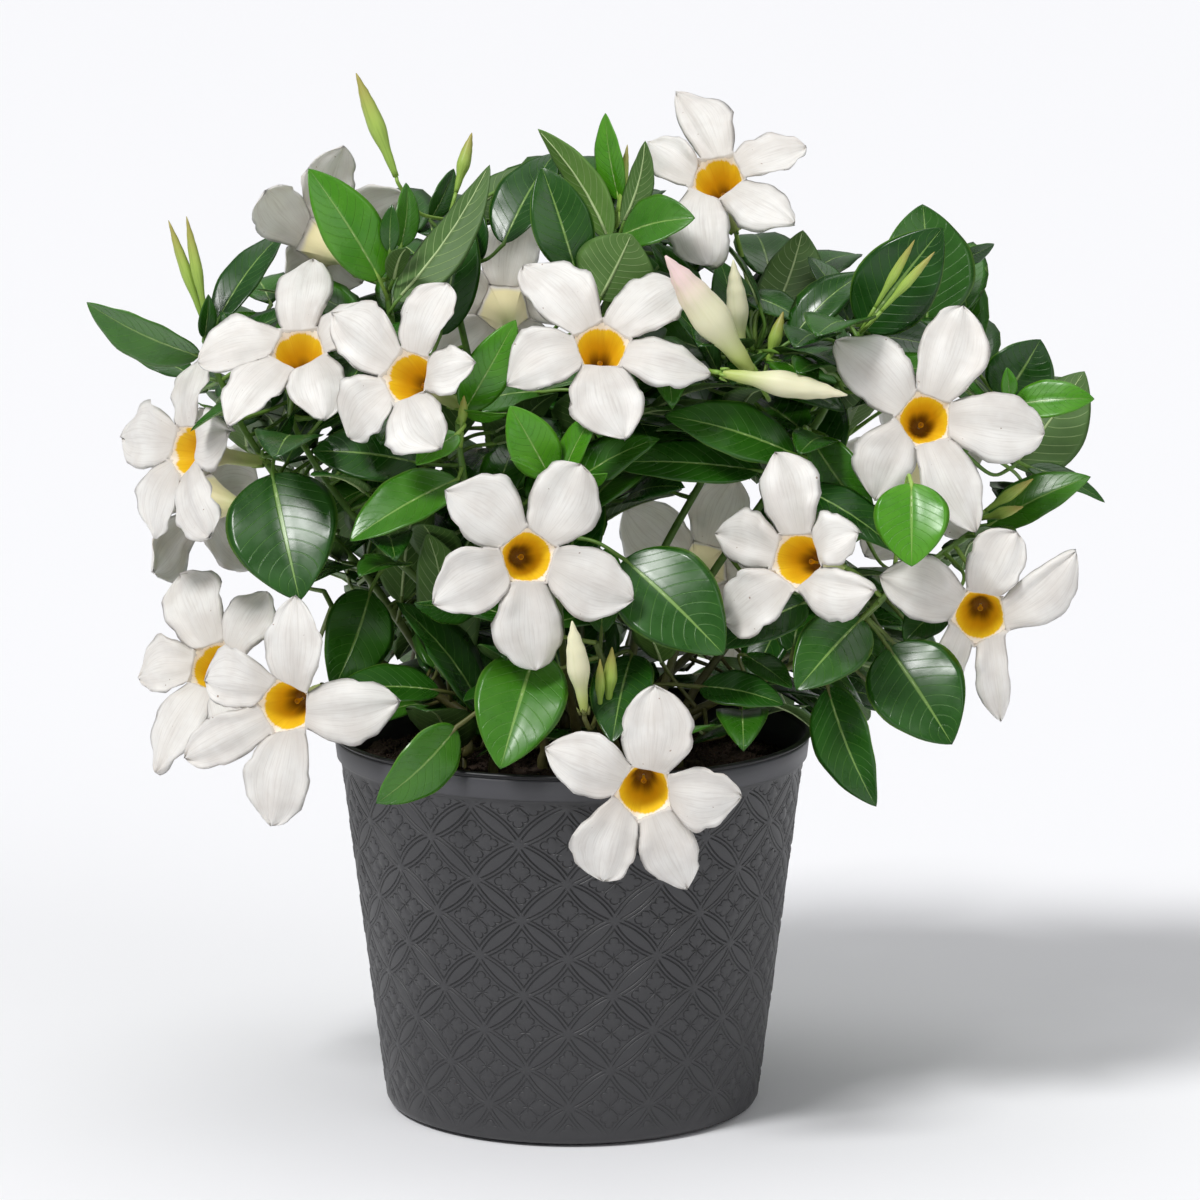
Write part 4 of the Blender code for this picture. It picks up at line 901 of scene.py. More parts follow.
def sheet_normals(grid):
    rise = np.gradient(grid, axis=0)
    across = np.gradient(grid, axis=1)
    normals = np.cross(across, rise)
    return normals / np.maximum(np.linalg.norm(normals, axis=2, keepdims=True), 1e-9)


def add_sheet_skin(skin, grid, half, finishes, places, tone, flip=False):
    """Both faces of a thin sheet; half is half its thickness at each point, nothing at an edge."""
    rows, columns = grid.shape[:2]
    normals = sheet_normals(grid)
    if flip:
        normals = -normals
    lift = normals * half[..., None]
    quads = []
    for i in range(rows - 1):
        for j in range(columns - 1):
            a = i * columns + j
            quads.append((a, a + 1, a + columns + 1, a + columns))
    back = [face[::-1] for face in quads]
    front = quads
    if flip:
        front, back = back, front
    skin.add(grid + lift, front, finishes[0], places, tone)
    skin.add(grid - lift, back, finishes[1], places, tone)


def smooth_line(points, step=3.0):
    """A smooth path through a stalk's points, with a place every few millimetres."""
    length = sum((b - a).length for a, b in zip(points, points[1:]))
    return smooth_path(points, max(4, int(length / step)))


def add_tube(skin, line, radii, sides, finish, tone=0.0, ridge=None):
    """A round closed tube along a line; ridge(share, angle) swells its skin."""
    line = [Vector(p) for p in line]
    ahead = [(line[min(i + 1, len(line) - 1)] - line[max(i - 1, 0)]).normalized() for i in range(len(line))]
    side = ahead[0].orthogonal().normalized()
    points = []
    places = []
    for i, place in enumerate(line):
        side = (side - ahead[i] * side.dot(ahead[i])).normalized()
        other = ahead[i].cross(side)
        share = i / (len(line) - 1)
        for j in range(sides):
            angle = 2 * math.pi * j / sides
            radius = radii[i] * (ridge(share, angle) if ridge else 1.0)
            points.append(place + side * (radius * math.cos(angle)) + other * (radius * math.sin(angle)))
            places.append((share, j / sides))
    points += [line[0], line[-1]]
    places += [(0.0, 0.0), (1.0, 0.0)]
    faces = []
    for i in range(len(line) - 1):
        for j in range(sides):
            a, b = i * sides + j, i * sides + (j + 1) % sides
            faces.append((a, b, b + sides, a + sides))
    last = (len(line) - 1) * sides
    end = len(points) - 1
    for j in range(sides):
        faces.append(((j + 1) % sides, j, end - 1))
        faces.append((last + j, last + (j + 1) % sides, end))
    skin.add([tuple(p) for p in points], faces, finish, places, tone)


def leaf_grid(leaf, seed, rise, across):
    """The blade as a fine grid, quilted between its veins and waved at its edge."""
    draw = random.Random(seed)
    phase = draw.uniform(0, 6.3)
    grid = np.zeros((rise + 1, across + 1, 3))
    places = np.zeros((rise + 1, across + 1, 2))
    for i in range(rise + 1):
        u = 0.5 - 0.5 * math.cos(math.pi * i / rise)
        u = 0.5 * u + 0.5 * i / rise
        for j in range(across + 1):
            v = 2 * j / across - 1
            v = math.copysign(abs(v) ** 0.9, v)
            point = leaf.point(min(u, 1.0), v)
            vein = (u - 0.24 * abs(v) ** 1.3) * 11
            quilt = 0.22 * math.sin(math.pi * (vein % 1.0)) * min(1.0, 4 * (1 - abs(v)) * (1 - u) * u * 4)
            crease = -0.5 * math.exp(-((v / 0.09) ** 2)) * min(1.0, 6 * u * (1 - u))
            edge = 0.5 * abs(v) ** 4 * math.sin(21 * u + phase + v) * leaf.width / 40
            grid[i, j] = point + leaf.normal * (quilt + crease + edge * min(1.0, 5 * u * (1 - u)))
            places[i, j] = (u, v)
    return grid, places


def add_leaf(skin, leaf, stalk, tone, seed, rise=LEAF_RISE, across=LEAF_ACROSS):
    grid, places = leaf_grid(leaf, seed, rise, across)
    u = places[..., 0]
    v = np.abs(places[..., 1])
    half = FINE_LEAF / 2 * np.clip(np.minimum((1 - v) * 8, np.minimum(u, 1 - u) * 25), 0, 1)
    add_sheet_skin(skin, grid, half, (0, 1), places.reshape(-1, 2), tone)
    line = smooth_line(stalk, 2.5) + [leaf.point(0.04, 0.0), leaf.point(0.12, 0.0) - leaf.normal * 0.4]
    radii = [1.25 - 0.3 * math.sin(math.pi * i / (len(line) - 1)) for i in range(len(line))]
    radii[-1] = 0.35
    radii[-2] = 0.9
    add_tube(skin, line, radii, STALK_SIDES, 2, tone)
    rib = [leaf.point(u, 0.0) - leaf.normal * (0.45 + 0.25 * (1 - u)) for u in RIB_PLACES]
    add_tube(skin, rib, [0.85, 0.75, 0.62, 0.48, 0.34, 0.15], 6, 3, tone)


def add_stem(skin, path, leaves):
    """A round stem, with a swelling where each pair of leaves stands."""
    line = smooth_line(path[1:], 4.0)
    line = [path[0]] + line
    radii = []
    for i, place in enumerate(line):
        radius = stem_radius(max(0, i - 1) / (len(line) - 1))
        nearest = min(((plan["stalk"][0] - place).length for plan in leaves), default=99.0)
        radii.append(radius * (1.0 + 0.22 * math.exp(-((nearest / 3.0) ** 2))))
    add_tube(skin, line, radii, STEM_SIDES, 2, 0.0)


def add_sepals(skin, foot, way, radius, count=5, length=4.5):
    """The little pointed sepals round the foot of a flower or bud."""
    side = way.orthogonal().normalized()
    other = way.cross(side)
    for i in range(count):
        angle = 2 * math.pi * i / count
        out = side * math.cos(angle) + other * math.sin(angle)
        base = foot + out * radius * 0.7 - way * 1.2
        line = [base, base + way * length * 0.45 + out * 0.7, base + way * length + out * 1.5]
        add_tube(skin, line, [0.9, 0.75, 0.12], 6, 2, 0.7)


def bud_line(foot, tip, count=18):
    return [foot.lerp(tip, i / (count - 1)) for i in range(count)]


def bud_width(share, width):
    """A narrow tube that swells past its middle and closes to a point."""
    knots = [(0.0, 0.17), (0.2, 0.26), (0.48, 0.5), (0.66, 0.43), (0.8, 0.3), (0.93, 0.13), (1.0, 0.03)]
    for (a, low), (b, high) in zip(knots, knots[1:]):
        if share <= b:
            t = (share - a) / (b - a)
            t = t * t * (3 - 2 * t)
            return width * (low + (high - low) * t)
    return width * 0.03


def twisted(share, angle):
    """The overlapping folds that wind round a closed bud."""
    wound = (5 * (angle + 3.2 * share)) / (2 * math.pi) % 1.0
    return 1.0 + 0.13 * max(0.0, share - 0.25) * (wound - 0.5)


def small_leaf(shoots, draw):
    """A small leaf at a chance place in the crown, on the shoot that passes closest."""
    place = seen((draw.uniform(-185, 245), draw.uniform(-12, 285), draw.uniform(-120, 70)))
    if not inside_outline(place):
        return None
    owner, start = nearest_on(shoots, place, 0.12)
    out = place - start
    if not 9.0 < out.length < SMALL_LEAF_STALK:
        return None
    chance = Vector((draw.uniform(-1, 1), draw.uniform(-1, 1), draw.uniform(-0.6, 0.8)))
    way = (out.normalized() + chance * 0.7).normalized()
    size = draw.uniform(*SMALL_LEAF_LENGTH)
    up = Vector((0.0, 0.0, 1.0)) + VIEW_OUT * draw.uniform(-0.2, 1.1)
    facing = up - way * up.dot(way) + Vector((0.001, 0.0, 0.0))
    width = size * draw.uniform(0.46, 0.6)
    leaf = Leaf(place, place + way * size, width, 0.0, facing, arch=0.1, seed=draw.randrange(9999))
    return leaf, owner, bent_path(start, place, way, 3)


def plan_small_leaves(shoots, space, blooms, leaves):
    """Small leaves fill the crown wherever they hide no flower and no leaf that is known."""
    draw = random.Random(SEED + 5)
    flowers = merged_tree([plan["surface"] for plan in blooms])
    known = merged_tree([blade_sheet(plan["leaf"]) for plan in leaves if "row" in plan])
    plans = []
    for _ in range(SMALL_LEAF_TRIES):
        if len(plans) == SMALL_LEAVES:
            break
        found = small_leaf(shoots, draw)
        if found is None:
            continue
        leaf, owner, stalk = found
        sheet = blade_sheet(leaf)
        if not all(inside_outline(p) for p in sheet[0]):
            continue
        if hides(flowers, sheet[0]) or hides(known, sheet[0]) > 1:
            continue
        if space.sheet_is_clear(*sheet, owner) and space.rod_is_clear(dense(stalk)[1:-1], 0.8, owner):
            space.add_sheet(*sheet)
            plans.append({"leaf": leaf, "owner": owner, "stalk": stalk, "tone": draw.uniform(0.0, 0.4)})
    return plans


def make_small_leaves(plans, finishes):
    """The extra small leaves of the whole plant, as one piece."""
    skin = Skin()
    for i, plan in enumerate(plans):
        grid = (SMALL_LEAF_RISE, SMALL_LEAF_ACROSS)
        add_leaf(skin, plan["leaf"], plan["stalk"], plan["tone"], SEED + 31 * i, *grid)
    piece = skin.build("small_leaves", finishes)
    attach(piece, "root")


def make_shoot(name, path, leaves, blooms, buds, green_buds, finishes):
    skin = Skin()
    add_stem(skin, path, leaves)
    for i, plan in enumerate(leaves):
        add_leaf(skin, plan["leaf"], plan["stalk"], plan["tone"], SEED + 50 * i)
    for plan in blooms:
        line = smooth_line(plan["stalk"], 3.0)
        radii = [STALK_RADIUS] * (len(line) - 2) + [STALK_RADIUS + 0.6, TUBE_RADIUS * 0.95]
        add_tube(skin, line, radii, STALK_SIDES, 2, 0.6)
        add_sepals(skin, line[-1], plan["bloom"].axis, TUBE_RADIUS + 0.9)
    for plan in buds:
        way = (plan["tip"] - plan["foot"]).normalized()
        line = smooth_line(plan["stalk"][:-1] + [plan["foot"] - way * GAP], 3.0)
        radii = [STALK_RADIUS] * (len(line) - 1) + [plan["width"] * 0.17]
        add_tube(skin, line, radii, STALK_SIDES, 2, 0.6)
        add_sepals(skin, line[-1], way, plan["width"] * 0.17 + 0.9, length=4.0)
    for plan in green_buds:
        line = smooth_line(plan["stalk"], 3.0)
        add_tube(skin, line, [STALK_RADIUS * 0.8] * len(line), STALK_SIDES, 2, 0.7)
        body = bud_line(plan["foot"], plan["tip"])
        radii = [bud_width(i / (len(body) - 1), plan["width"]) for i in range(len(body))]
        add_tube(skin, body, radii, 10, 4, 0.7, twisted)
    piece = skin.build(name.replace("shoot_", "leafy_stem_"), finishes)
    dress(piece, "foliage", name)


def dress(piece, slot, *nodes):
    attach(piece, "root")
    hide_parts(*nodes)


def mouth_flare(back, v):
    """How far the funnel's corners stand out of round at a depth behind the mouth."""
    return SINUS_OUT * abs(v) ** 3 * max(0.0, 1 - back / FLARE_DEPTH) ** 2


def lobe_relief(lobe, u, v):
    """What a real lobe adds to its plain surface: a puckered fold, a frilled edge and a bent tip."""
    wave = lobe["wave"]
    pucker = 2.6 * math.exp(-(((u - 0.26) / 0.1) ** 2) - ((v + 0.72) / 0.26) ** 2)
    frill = 1.1 * abs(v) ** 4 * math.sin(19 * u + wave + 2 * v) * min(1.0, 3 * u)
    fold = 0.9 * math.sin(5.5 * v + wave) * u * (1 - u) * 4
    tip = 1.2 * u**7 * math.sin(7 * v + wave)
    curl = -2.6 * max(0.0, v) ** 4 * u * (1 + math.sin(2 * wave)) * 0.5
    return pucker + frill + fold + tip + curl


def lobe_reach(lobe, u, v):
    """The edge's shallow notches, as a share of the way out to it."""
    notch = max(0.0, math.sin(13 * u + 3 * lobe["wave"])) ** 3
    return v * (1 - 0.09 * notch * abs(v) ** 3 * min(1.0, 2.5 * u))


def corolla_grid(bloom, k):
    """One fifth of the flower: tube, funnel and lobe as a fine grid."""
    lobe = bloom.lobes[k]
    across = [2 * j / LOBE_ACROSS - 1 for j in range(LOBE_ACROSS + 1)]
    rows = []
    places = []
    turns = [lobe["angle"] + v * math.pi / 5 for v in across]
    for back, radius in FUNNEL:
        rows.append([
            bloom.ring_point(back, radius + mouth_flare(back, v), turn) for v, turn in zip(across, turns)
        ])
        places.append([(-back / TUBE_LENGTH, v) for v in across])
    for i in range(LOBE_RISE + 1):
        t = i / LOBE_RISE
        u = 0.45 * t + 0.55 * t * t * (3 - 2 * t)
        rows.append([
            bloom.lobe_point(lobe, u, lobe_reach(lobe, u, v)) + bloom.axis * lobe_relief(lobe, u, v)
            for v in across
        ])
        places.append([(u, v) for v in across])
    return np.array([[tuple(p) for p in row] for row in rows]), np.array(places)


def make_bloom(index, plan, white, yellow):
    name = f"flower_{index + 1:02d}"
    skin = Skin()
    bloom = plan["bloom"]
    for k in range(5):
        grid, places = corolla_grid(bloom, k)
        u = places[..., 0]
        v = np.abs(places[..., 1])
        edge = np.clip(np.minimum((1 - v) * 9, (1 - u) * 14), 0, 1)
        half = FINE_PETAL / 2 * np.where(u < 0.06, 1.0, edge)
        add_sheet_skin(skin, grid, half, (0, 0), places.reshape(-1, 2), plan["tone"], flip=True)
    piece = skin.build(name, [white])
    dress(piece, "petals", f"bloom_{index + 1:02d}")
    make_throat(index, plan, yellow)


def make_throat(index, plan, yellow):
    """The yellow lining, close inside the funnel, with the style's small head at its bottom."""
    bloom = plan["bloom"]
    lining = Skin()
    backs = (0.5, 2.0, 4.0, 7.0, 10.0, 13.0, 16.0, 19.0, 21.5, 23.0)
    depths, radii = zip(*sorted(FUNNEL + ((0.0, THROAT_RADIUS),)))
    points = []
    places = []
    for back in backs:
        for j in range(THROAT_SIDES):
            angle = 2 * math.pi * j / THROAT_SIDES
            v = 2 * (((angle - bloom.lobes[0]["angle"]) / (2 * math.pi) * 5 + 0.5) % 1.0) - 1
            inset = FINE_PETAL / 2 + (0.08 if back < 1 else 0.25) + 0.1 * math.cos(20 * angle)
            radius = np.interp(back, depths, radii) + mouth_flare(back, v) - inset
            points.append(bloom.ring_point(back, max(0.3, float(radius)), angle))
            places.append((back / 24.0 - 0.14 * abs(v) ** 3, j / THROAT_SIDES))
    points.append(bloom.ring_point(23.3, 0.0, 0.0))
    places.append((1.0, 0.0))
    faces = []
    for i in range(len(backs) - 1):
        for j in range(THROAT_SIDES):
            a, b = i * THROAT_SIDES + j, i * THROAT_SIDES + (j + 1) % THROAT_SIDES
            faces.append((a, b, b + THROAT_SIDES, a + THROAT_SIDES))
    last = (len(backs) - 1) * THROAT_SIDES
    for j in range(THROAT_SIDES):
        faces.append((last + (j + 1) % THROAT_SIDES, len(points) - 1, last + j))
    lining.add([tuple(p) for p in points], faces, 0, places, plan["tone"])
    style = [bloom.ring_point(b, 0.0, 0.0) for b in (23.0, 18.0, 15.5, 14.0)]
    add_tube(lining, style, [0.6, 0.7, 1.4, 0.2], 10, 0, 2.0)
    piece = lining.build(f"flower_throat_{index + 1:02d}", [yellow])
    dress(piece, "throats", f"throat_{index + 1:02d}")


def make_cream_bud(index, plan, cream):
    skin = Skin()
    body = bud_line(plan["foot"], plan["tip"], 30)
    radii = [bud_width(i / (len(body) - 1), plan["width"]) for i in range(len(body))]
    add_tube(skin, body, radii, 30, 0, BUD_TONES[index], twisted)
    piece = skin.build(f"cream_bud_{index + 1:02d}", [cream])
    dress(piece, "buds", f"bud_{index + 1:02d}")


def disc_distance(x, y, centre_x, centre_y):
    return np.hypot(x - centre_x, y - centre_y)


def soft_step(value, low, high):
    t = np.clip((value - low) / (high - low), 0, 1)
    return t * t * (3 - 2 * t)


def relief(angle, height):
    """The moulded lattice of narrow lenses, edged by double grooves, with a flower in each diamond."""
    x = (angle - PATTERN_TURN) / (2 * math.pi) * CELLS_ROUND
    y = (height - CELL_TOP) / CELL_HEIGHT
    p = (x + y) % 1.0
    q = (x - y) % 1.0
    a = np.minimum(p, 1 - p)
    b = np.minimum(q, 1 - q)
    far_centre = LENS_ARC - LENS_SAGITTA
    lens = np.minimum(
        disc_distance(a, b, -far_centre, 0.5) - LENS_ARC, disc_distance(a, b, 0.5, -far_centre) - LENS_ARC
    )
    inside = 1 - soft_step(lens, -0.05, 0.01)
    border = soft_step(lens, 0.0, 0.04) * (1 - soft_step(lens, 0.04, 0.09))
    rosette = 1 - soft_step(np.hypot(a, b), 0.05, 0.1)
    across = np.abs(p + q - 1)
    along = np.abs(p - q)
    far = np.maximum(across, along)
    side = np.minimum(across, along)
    petal = np.minimum.reduce([disc_distance(far, side, x, y) - radius for x, y, radius in PETAL_DISCS])
    flower = (1 - soft_step(petal, -0.05, 0.03)) * soft_step(far, 0.02, 0.2)
    depth = 0.3 * inside + 0.35 * border + 0.65 * flower - 0.45
    depth = depth * (1 - rosette) + 0.1 * rosette
    return depth * soft_step(height, 2.0, 10.0) * (1 - soft_step(height, 172.0, 175.5))


def planter_profile():
    """The planter's section, down its inside, over the rim, down the wall and in under the floor."""
    inside = [
        (POLE, FLOOR),
        (BOSS_RADIUS - 3.0, FLOOR),
        (BOSS_RADIUS, FLOOR + CHANNEL_HEIGHT),
        (wall_radius(FLOOR + CHANNEL_HEIGHT) - WALL, FLOOR + CHANNEL_HEIGHT),
        (wall_radius(BAND_BOTTOM) - WALL, BAND_BOTTOM),
    ]
    lip = [(RIM_RADIUS + out, POT_HEIGHT + up) for out, up in LIP]
    groove = [(RIM_RADIUS + out, BAND_TOP + up) for out, up in GROOVE]
    band = [
        (RIM_RADIUS - 2.5, BAND_BOTTOM + 0.6),
        (RIM_RADIUS - 3.0, BAND_BOTTOM),
        (wall_radius(BAND_BOTTOM - 1.0) + 0.1, BAND_BOTTOM - 1.0),
    ]
    wall = [(wall_radius(h), h) for h in np.linspace(BAND_BOTTOM - 1.6, WALL_FOOT, WALL_ROWS)]
    below = [
        (wall_radius(WALL_FOOT) - 1.3, 1.6),
        (FOOT_RADIUS + 0.4, 0.2),
        (FOOT_RADIUS - 0.4, 0.0),
        (FOOT_INNER_RADIUS + 0.3, 0.0),
        (FOOT_INNER_RADIUS, 0.3),
        (FOOT_INNER_RADIUS - 1.0, CHANNEL_HEIGHT),
        (BOSS_RADIUS + 1.0, CHANNEL_HEIGHT),
        (BOSS_RADIUS + 0.2, 0.4),
        (BOSS_RADIUS - 0.6, 0.0),
        (POLE, 0.0),
    ]
    return inside + lip + groove + band, wall, below


def cut_drains(piece):
    """Drain holes through the floor's channel."""
    drains = []
    for i in range(NOTCH_COUNT):
        angle = math.radians(NOTCH_FIRST_ANGLE + 360.0 * i / NOTCH_COUNT)
        x = DRAIN_FROM_AXIS * math.cos(angle) * MM
        y = DRAIN_FROM_AXIS * math.sin(angle) * MM
        bpy.ops.mesh.primitive_cylinder_add(
            vertices=32, radius=DRAIN_RADIUS * MM, depth=0.012, location=(x, y, 0.006)
        )
        drains.append(bpy.context.object)
    holder = bpy.data.collections.new("drains")
    for drain in drains:
        holder.objects.link(drain)
    cut = piece.modifiers.new("drains", "BOOLEAN")
    cut.operand_type = "COLLECTION"
    cut.collection = holder
    cut.solver = "EXACT"
    graph = bpy.context.evaluated_depsgraph_get()
    cut_mesh = bpy.data.meshes.new_from_object(piece.evaluated_get(graph))
    piece.modifiers.clear()
    piece.data = cut_mesh
    for drain in drains:
        bpy.data.objects.remove(drain, do_unlink=True)
    bpy.data.collections.remove(holder)


def make_planter(charcoal):
    """The moulded planter: embossed wall, band, groove, rim, inside and notched foot ring."""
    angles = np.arange(WALL_ROUND) / WALL_ROUND * 2 * math.pi
    above, wall, below = planter_profile()
    rows = above + wall + below
    radius = np.array([r for r, _ in rows])[:, None] + np.zeros(WALL_ROUND)
    height = np.array([h for _, h in rows])[:, None] + np.zeros(WALL_ROUND)
    turn = angles[None, :] + np.zeros((len(rows), 1))
    start = len(above)
    stop = start + len(wall)
    moulded = relief(turn[start:stop], height[start:stop])
    radius[start:stop] += RELIEF_DEPTH * moulded
    for i in range(NOTCH_COUNT):
        middle = math.radians(NOTCH_FIRST_ANGLE + 360.0 * i / NOTCH_COUNT)
        apart_by = np.abs((turn - middle + math.pi) % (2 * math.pi) - math.pi) * radius
        on_ring = (radius > FOOT_INNER_RADIUS - 2) & (radius < FOOT_RADIUS + 2)
        notched = (apart_by < NOTCH_WIDTH / 2) & (height < NOTCH_HEIGHT) & on_ring
        height = np.where(notched, NOTCH_HEIGHT, height)
    points = np.stack([radius * np.cos(turn), radius * np.sin(turn), height], axis=-1).reshape(-1, 3)
    index = np.arange(len(rows) * WALL_ROUND).reshape(len(rows), WALL_ROUND)
    beside = np.roll(index, -1, axis=1)
    quads = np.stack([index[:-1], index[1:], beside[1:], beside[:-1]], axis=-1).reshape(-1, 4)
    mesh = bpy.data.meshes.new("planter")
    faces = quads.tolist() + [index[0].tolist(), index[-1][::-1].tolist()]
    mesh.from_pydata((points * MM).tolist(), [], faces)
    mesh.polygons.foreach_set("use_smooth", [True] * len(faces))
    mesh.materials.append(charcoal)
    piece = bpy.data.objects.new("planter", mesh)
    bpy.context.scene.collection.objects.link(piece)
    cut_drains(piece)
    piece.data.set_sharp_from_angle(angle=math.radians(50))
    dress(piece, "pot", "pot")


def crumb_tree(peat):
    """Scatters rough crumbs over the soil's top, with a fixed seed."""
    tree = bpy.data.node_groups.new("soil_crumbs", "GeometryNodeTree")
    face = tree.interface
    face.new_socket("Geometry", in_out="INPUT", socket_type="NodeSocketGeometry")
    amount = face.new_socket("Crumbs per square metre", in_out="INPUT", socket_type="NodeSocketFloat")
    size = face.new_socket("Crumb size", in_out="INPUT", socket_type="NodeSocketFloat")
    face.new_socket("Geometry", in_out="OUTPUT", socket_type="NodeSocketGeometry")
    amount.default_value = 90000.0
    size.default_value = 0.0016
    nodes = tree.nodes
    link = tree.links.new
    entry = nodes.new("NodeGroupInput")
    leave = nodes.new("NodeGroupOutput")
    scatter = nodes.new("GeometryNodeDistributePointsOnFaces")
    scatter.inputs["Seed"].default_value = SEED
    crumb = nodes.new("GeometryNodeMeshIcoSphere")
    crumb.inputs["Subdivisions"].default_value = 1
    place = nodes.new("GeometryNodeInstanceOnPoints")
    turn = nodes.new("FunctionNodeRandomValue")
    turn.data_type = "FLOAT_VECTOR"
    turn.inputs["Min"].default_value = (0.0, 0.0, 0.0)
    turn.inputs["Max"].default_value = (6.28, 6.28, 6.28)
    turn.inputs["Seed"].default_value = SEED + 1
    swell = nodes.new("FunctionNodeRandomValue")
    swell.data_type = "FLOAT_VECTOR"
    swell.inputs["Min"].default_value = (0.4, 0.4, 0.3)
    swell.inputs["Max"].default_value = (1.7, 1.2, 0.9)
    swell.inputs["Seed"].default_value = SEED + 2
    real = nodes.new("GeometryNodeRealizeInstances")
    paint = nodes.new("GeometryNodeSetMaterial")
    paint.inputs["Material"].default_value = peat
    link(entry.outputs["Geometry"], scatter.inputs["Mesh"])
    link(entry.outputs["Crumbs per square metre"], scatter.inputs["Density"])
    link(entry.outputs["Crumb size"], crumb.inputs["Radius"])
    link(scatter.outputs["Points"], place.inputs["Points"])
    link(crumb.outputs["Mesh"], place.inputs["Instance"])
    link(turn.outputs["Value"], place.inputs["Rotation"])
    link(swell.outputs["Value"], place.inputs["Scale"])
    link(place.outputs["Instances"], real.inputs["Geometry"])
    link(real.outputs["Geometry"], paint.inputs["Geometry"])
    link(paint.outputs["Geometry"], leave.inputs["Geometry"])
    return tree


def make_soil(peat):
    """The peat's rough top, with its crumbs."""
    draw = np.random.default_rng(SEED)
    edge = soil_radius(SOIL_TOP - SOIL_DIP - 1.0)
    radii = np.linspace(0.5, edge - 0.6, SOIL_RINGS)
    turn = np.arange(SOIL_ROUND) / SOIL_ROUND * 2 * math.pi
    waves = [(draw.uniform(0.02, 0.14), draw.uniform(0, 6.3), draw.uniform(0, 6.3)) for _ in range(24)]
    radius = radii[:, None] + np.zeros(SOIL_ROUND)
    x = radius * np.cos(turn)
    y = radius * np.sin(turn)
    height = np.full(radius.shape, SOIL_TOP - 1.6)
    height -= SOIL_DIP * soft_step(radius, 80, 112)
    for pitch, way, phase in waves:
        height += 0.32 * np.sin((x * math.cos(way) + y * math.sin(way)) * pitch * 4 + phase)
    rows = [np.stack([x, y, height], axis=-1)]
    bed = FLOOR + CHANNEL_HEIGHT + GAP
    middle = bed + 60.0
    below = (
        (SOIL_TOP - SOIL_DIP - 3.0, edge),
        (middle, soil_radius(middle)),
        (bed, soil_radius(bed) - 0.4),
        (bed, BOSS_RADIUS),
        (FLOOR + GAP, BOSS_RADIUS - 3.4),
        (FLOOR + GAP, 0.5),
    )
    for low, reach in below:
        ring = np.stack([reach * np.cos(turn), reach * np.sin(turn), np.full(SOIL_ROUND, low)], axis=-1)
        rows.append(ring[None])
    points = np.concatenate(rows, axis=0)
    index = np.arange(points.shape[0] * SOIL_ROUND).reshape(-1, SOIL_ROUND)
    beside = np.roll(index, -1, axis=1)
    quads = np.stack([index[:-1], index[1:], beside[1:], beside[:-1]], axis=-1).reshape(-1, 4)
    faces = quads.tolist() + [index[0].tolist(), index[-1][::-1].tolist()]
    mesh = bpy.data.meshes.new("soil_bed")
    mesh.from_pydata((points.reshape(-1, 3) * MM).tolist(), [], faces)
    mesh.polygons.foreach_set("use_smooth", [True] * len(faces))
    mesh.materials.append(peat)
    piece = bpy.data.objects.new("soil_bed", mesh)
    bpy.context.scene.collection.objects.link(piece)
    top = bpy.data.meshes.new("soil_top")
    crust = points[:SOIL_RINGS]
    crust_faces = quads[: (SOIL_RINGS - 1) * SOIL_ROUND].tolist()
    top.from_pydata((crust.reshape(-1, 3) * MM).tolist(), [], crust_faces)
    crumbs = bpy.data.objects.new("soil_crumbs", top)
    bpy.context.scene.collection.objects.link(crumbs)
    scatter = crumbs.modifiers.new("crumbs", "NODES")
    scatter.node_group = crumb_tree(peat)
    graph = bpy.context.evaluated_depsgraph_get()
    whole = bpy.data.meshes.new_from_object(crumbs.evaluated_get(graph))
    crumbs.modifiers.clear()
    crumbs.data = whole
    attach(crumbs, "root")
    dress(piece, "soil", "soil")


def add_node(tree, kind, inputs=None, **settings):
    """A shader node with its settings and inputs; an input may be a value or another node's output."""
    node = tree.nodes.new(kind)
    for key, value in settings.items():
        setattr(node, key, value)
    for key, value in (inputs or {}).items():
        if isinstance(value, bpy.types.NodeSocket):
            tree.links.new(value, node.inputs[key])
        else:
            node.inputs[key].default_value = value
    return node


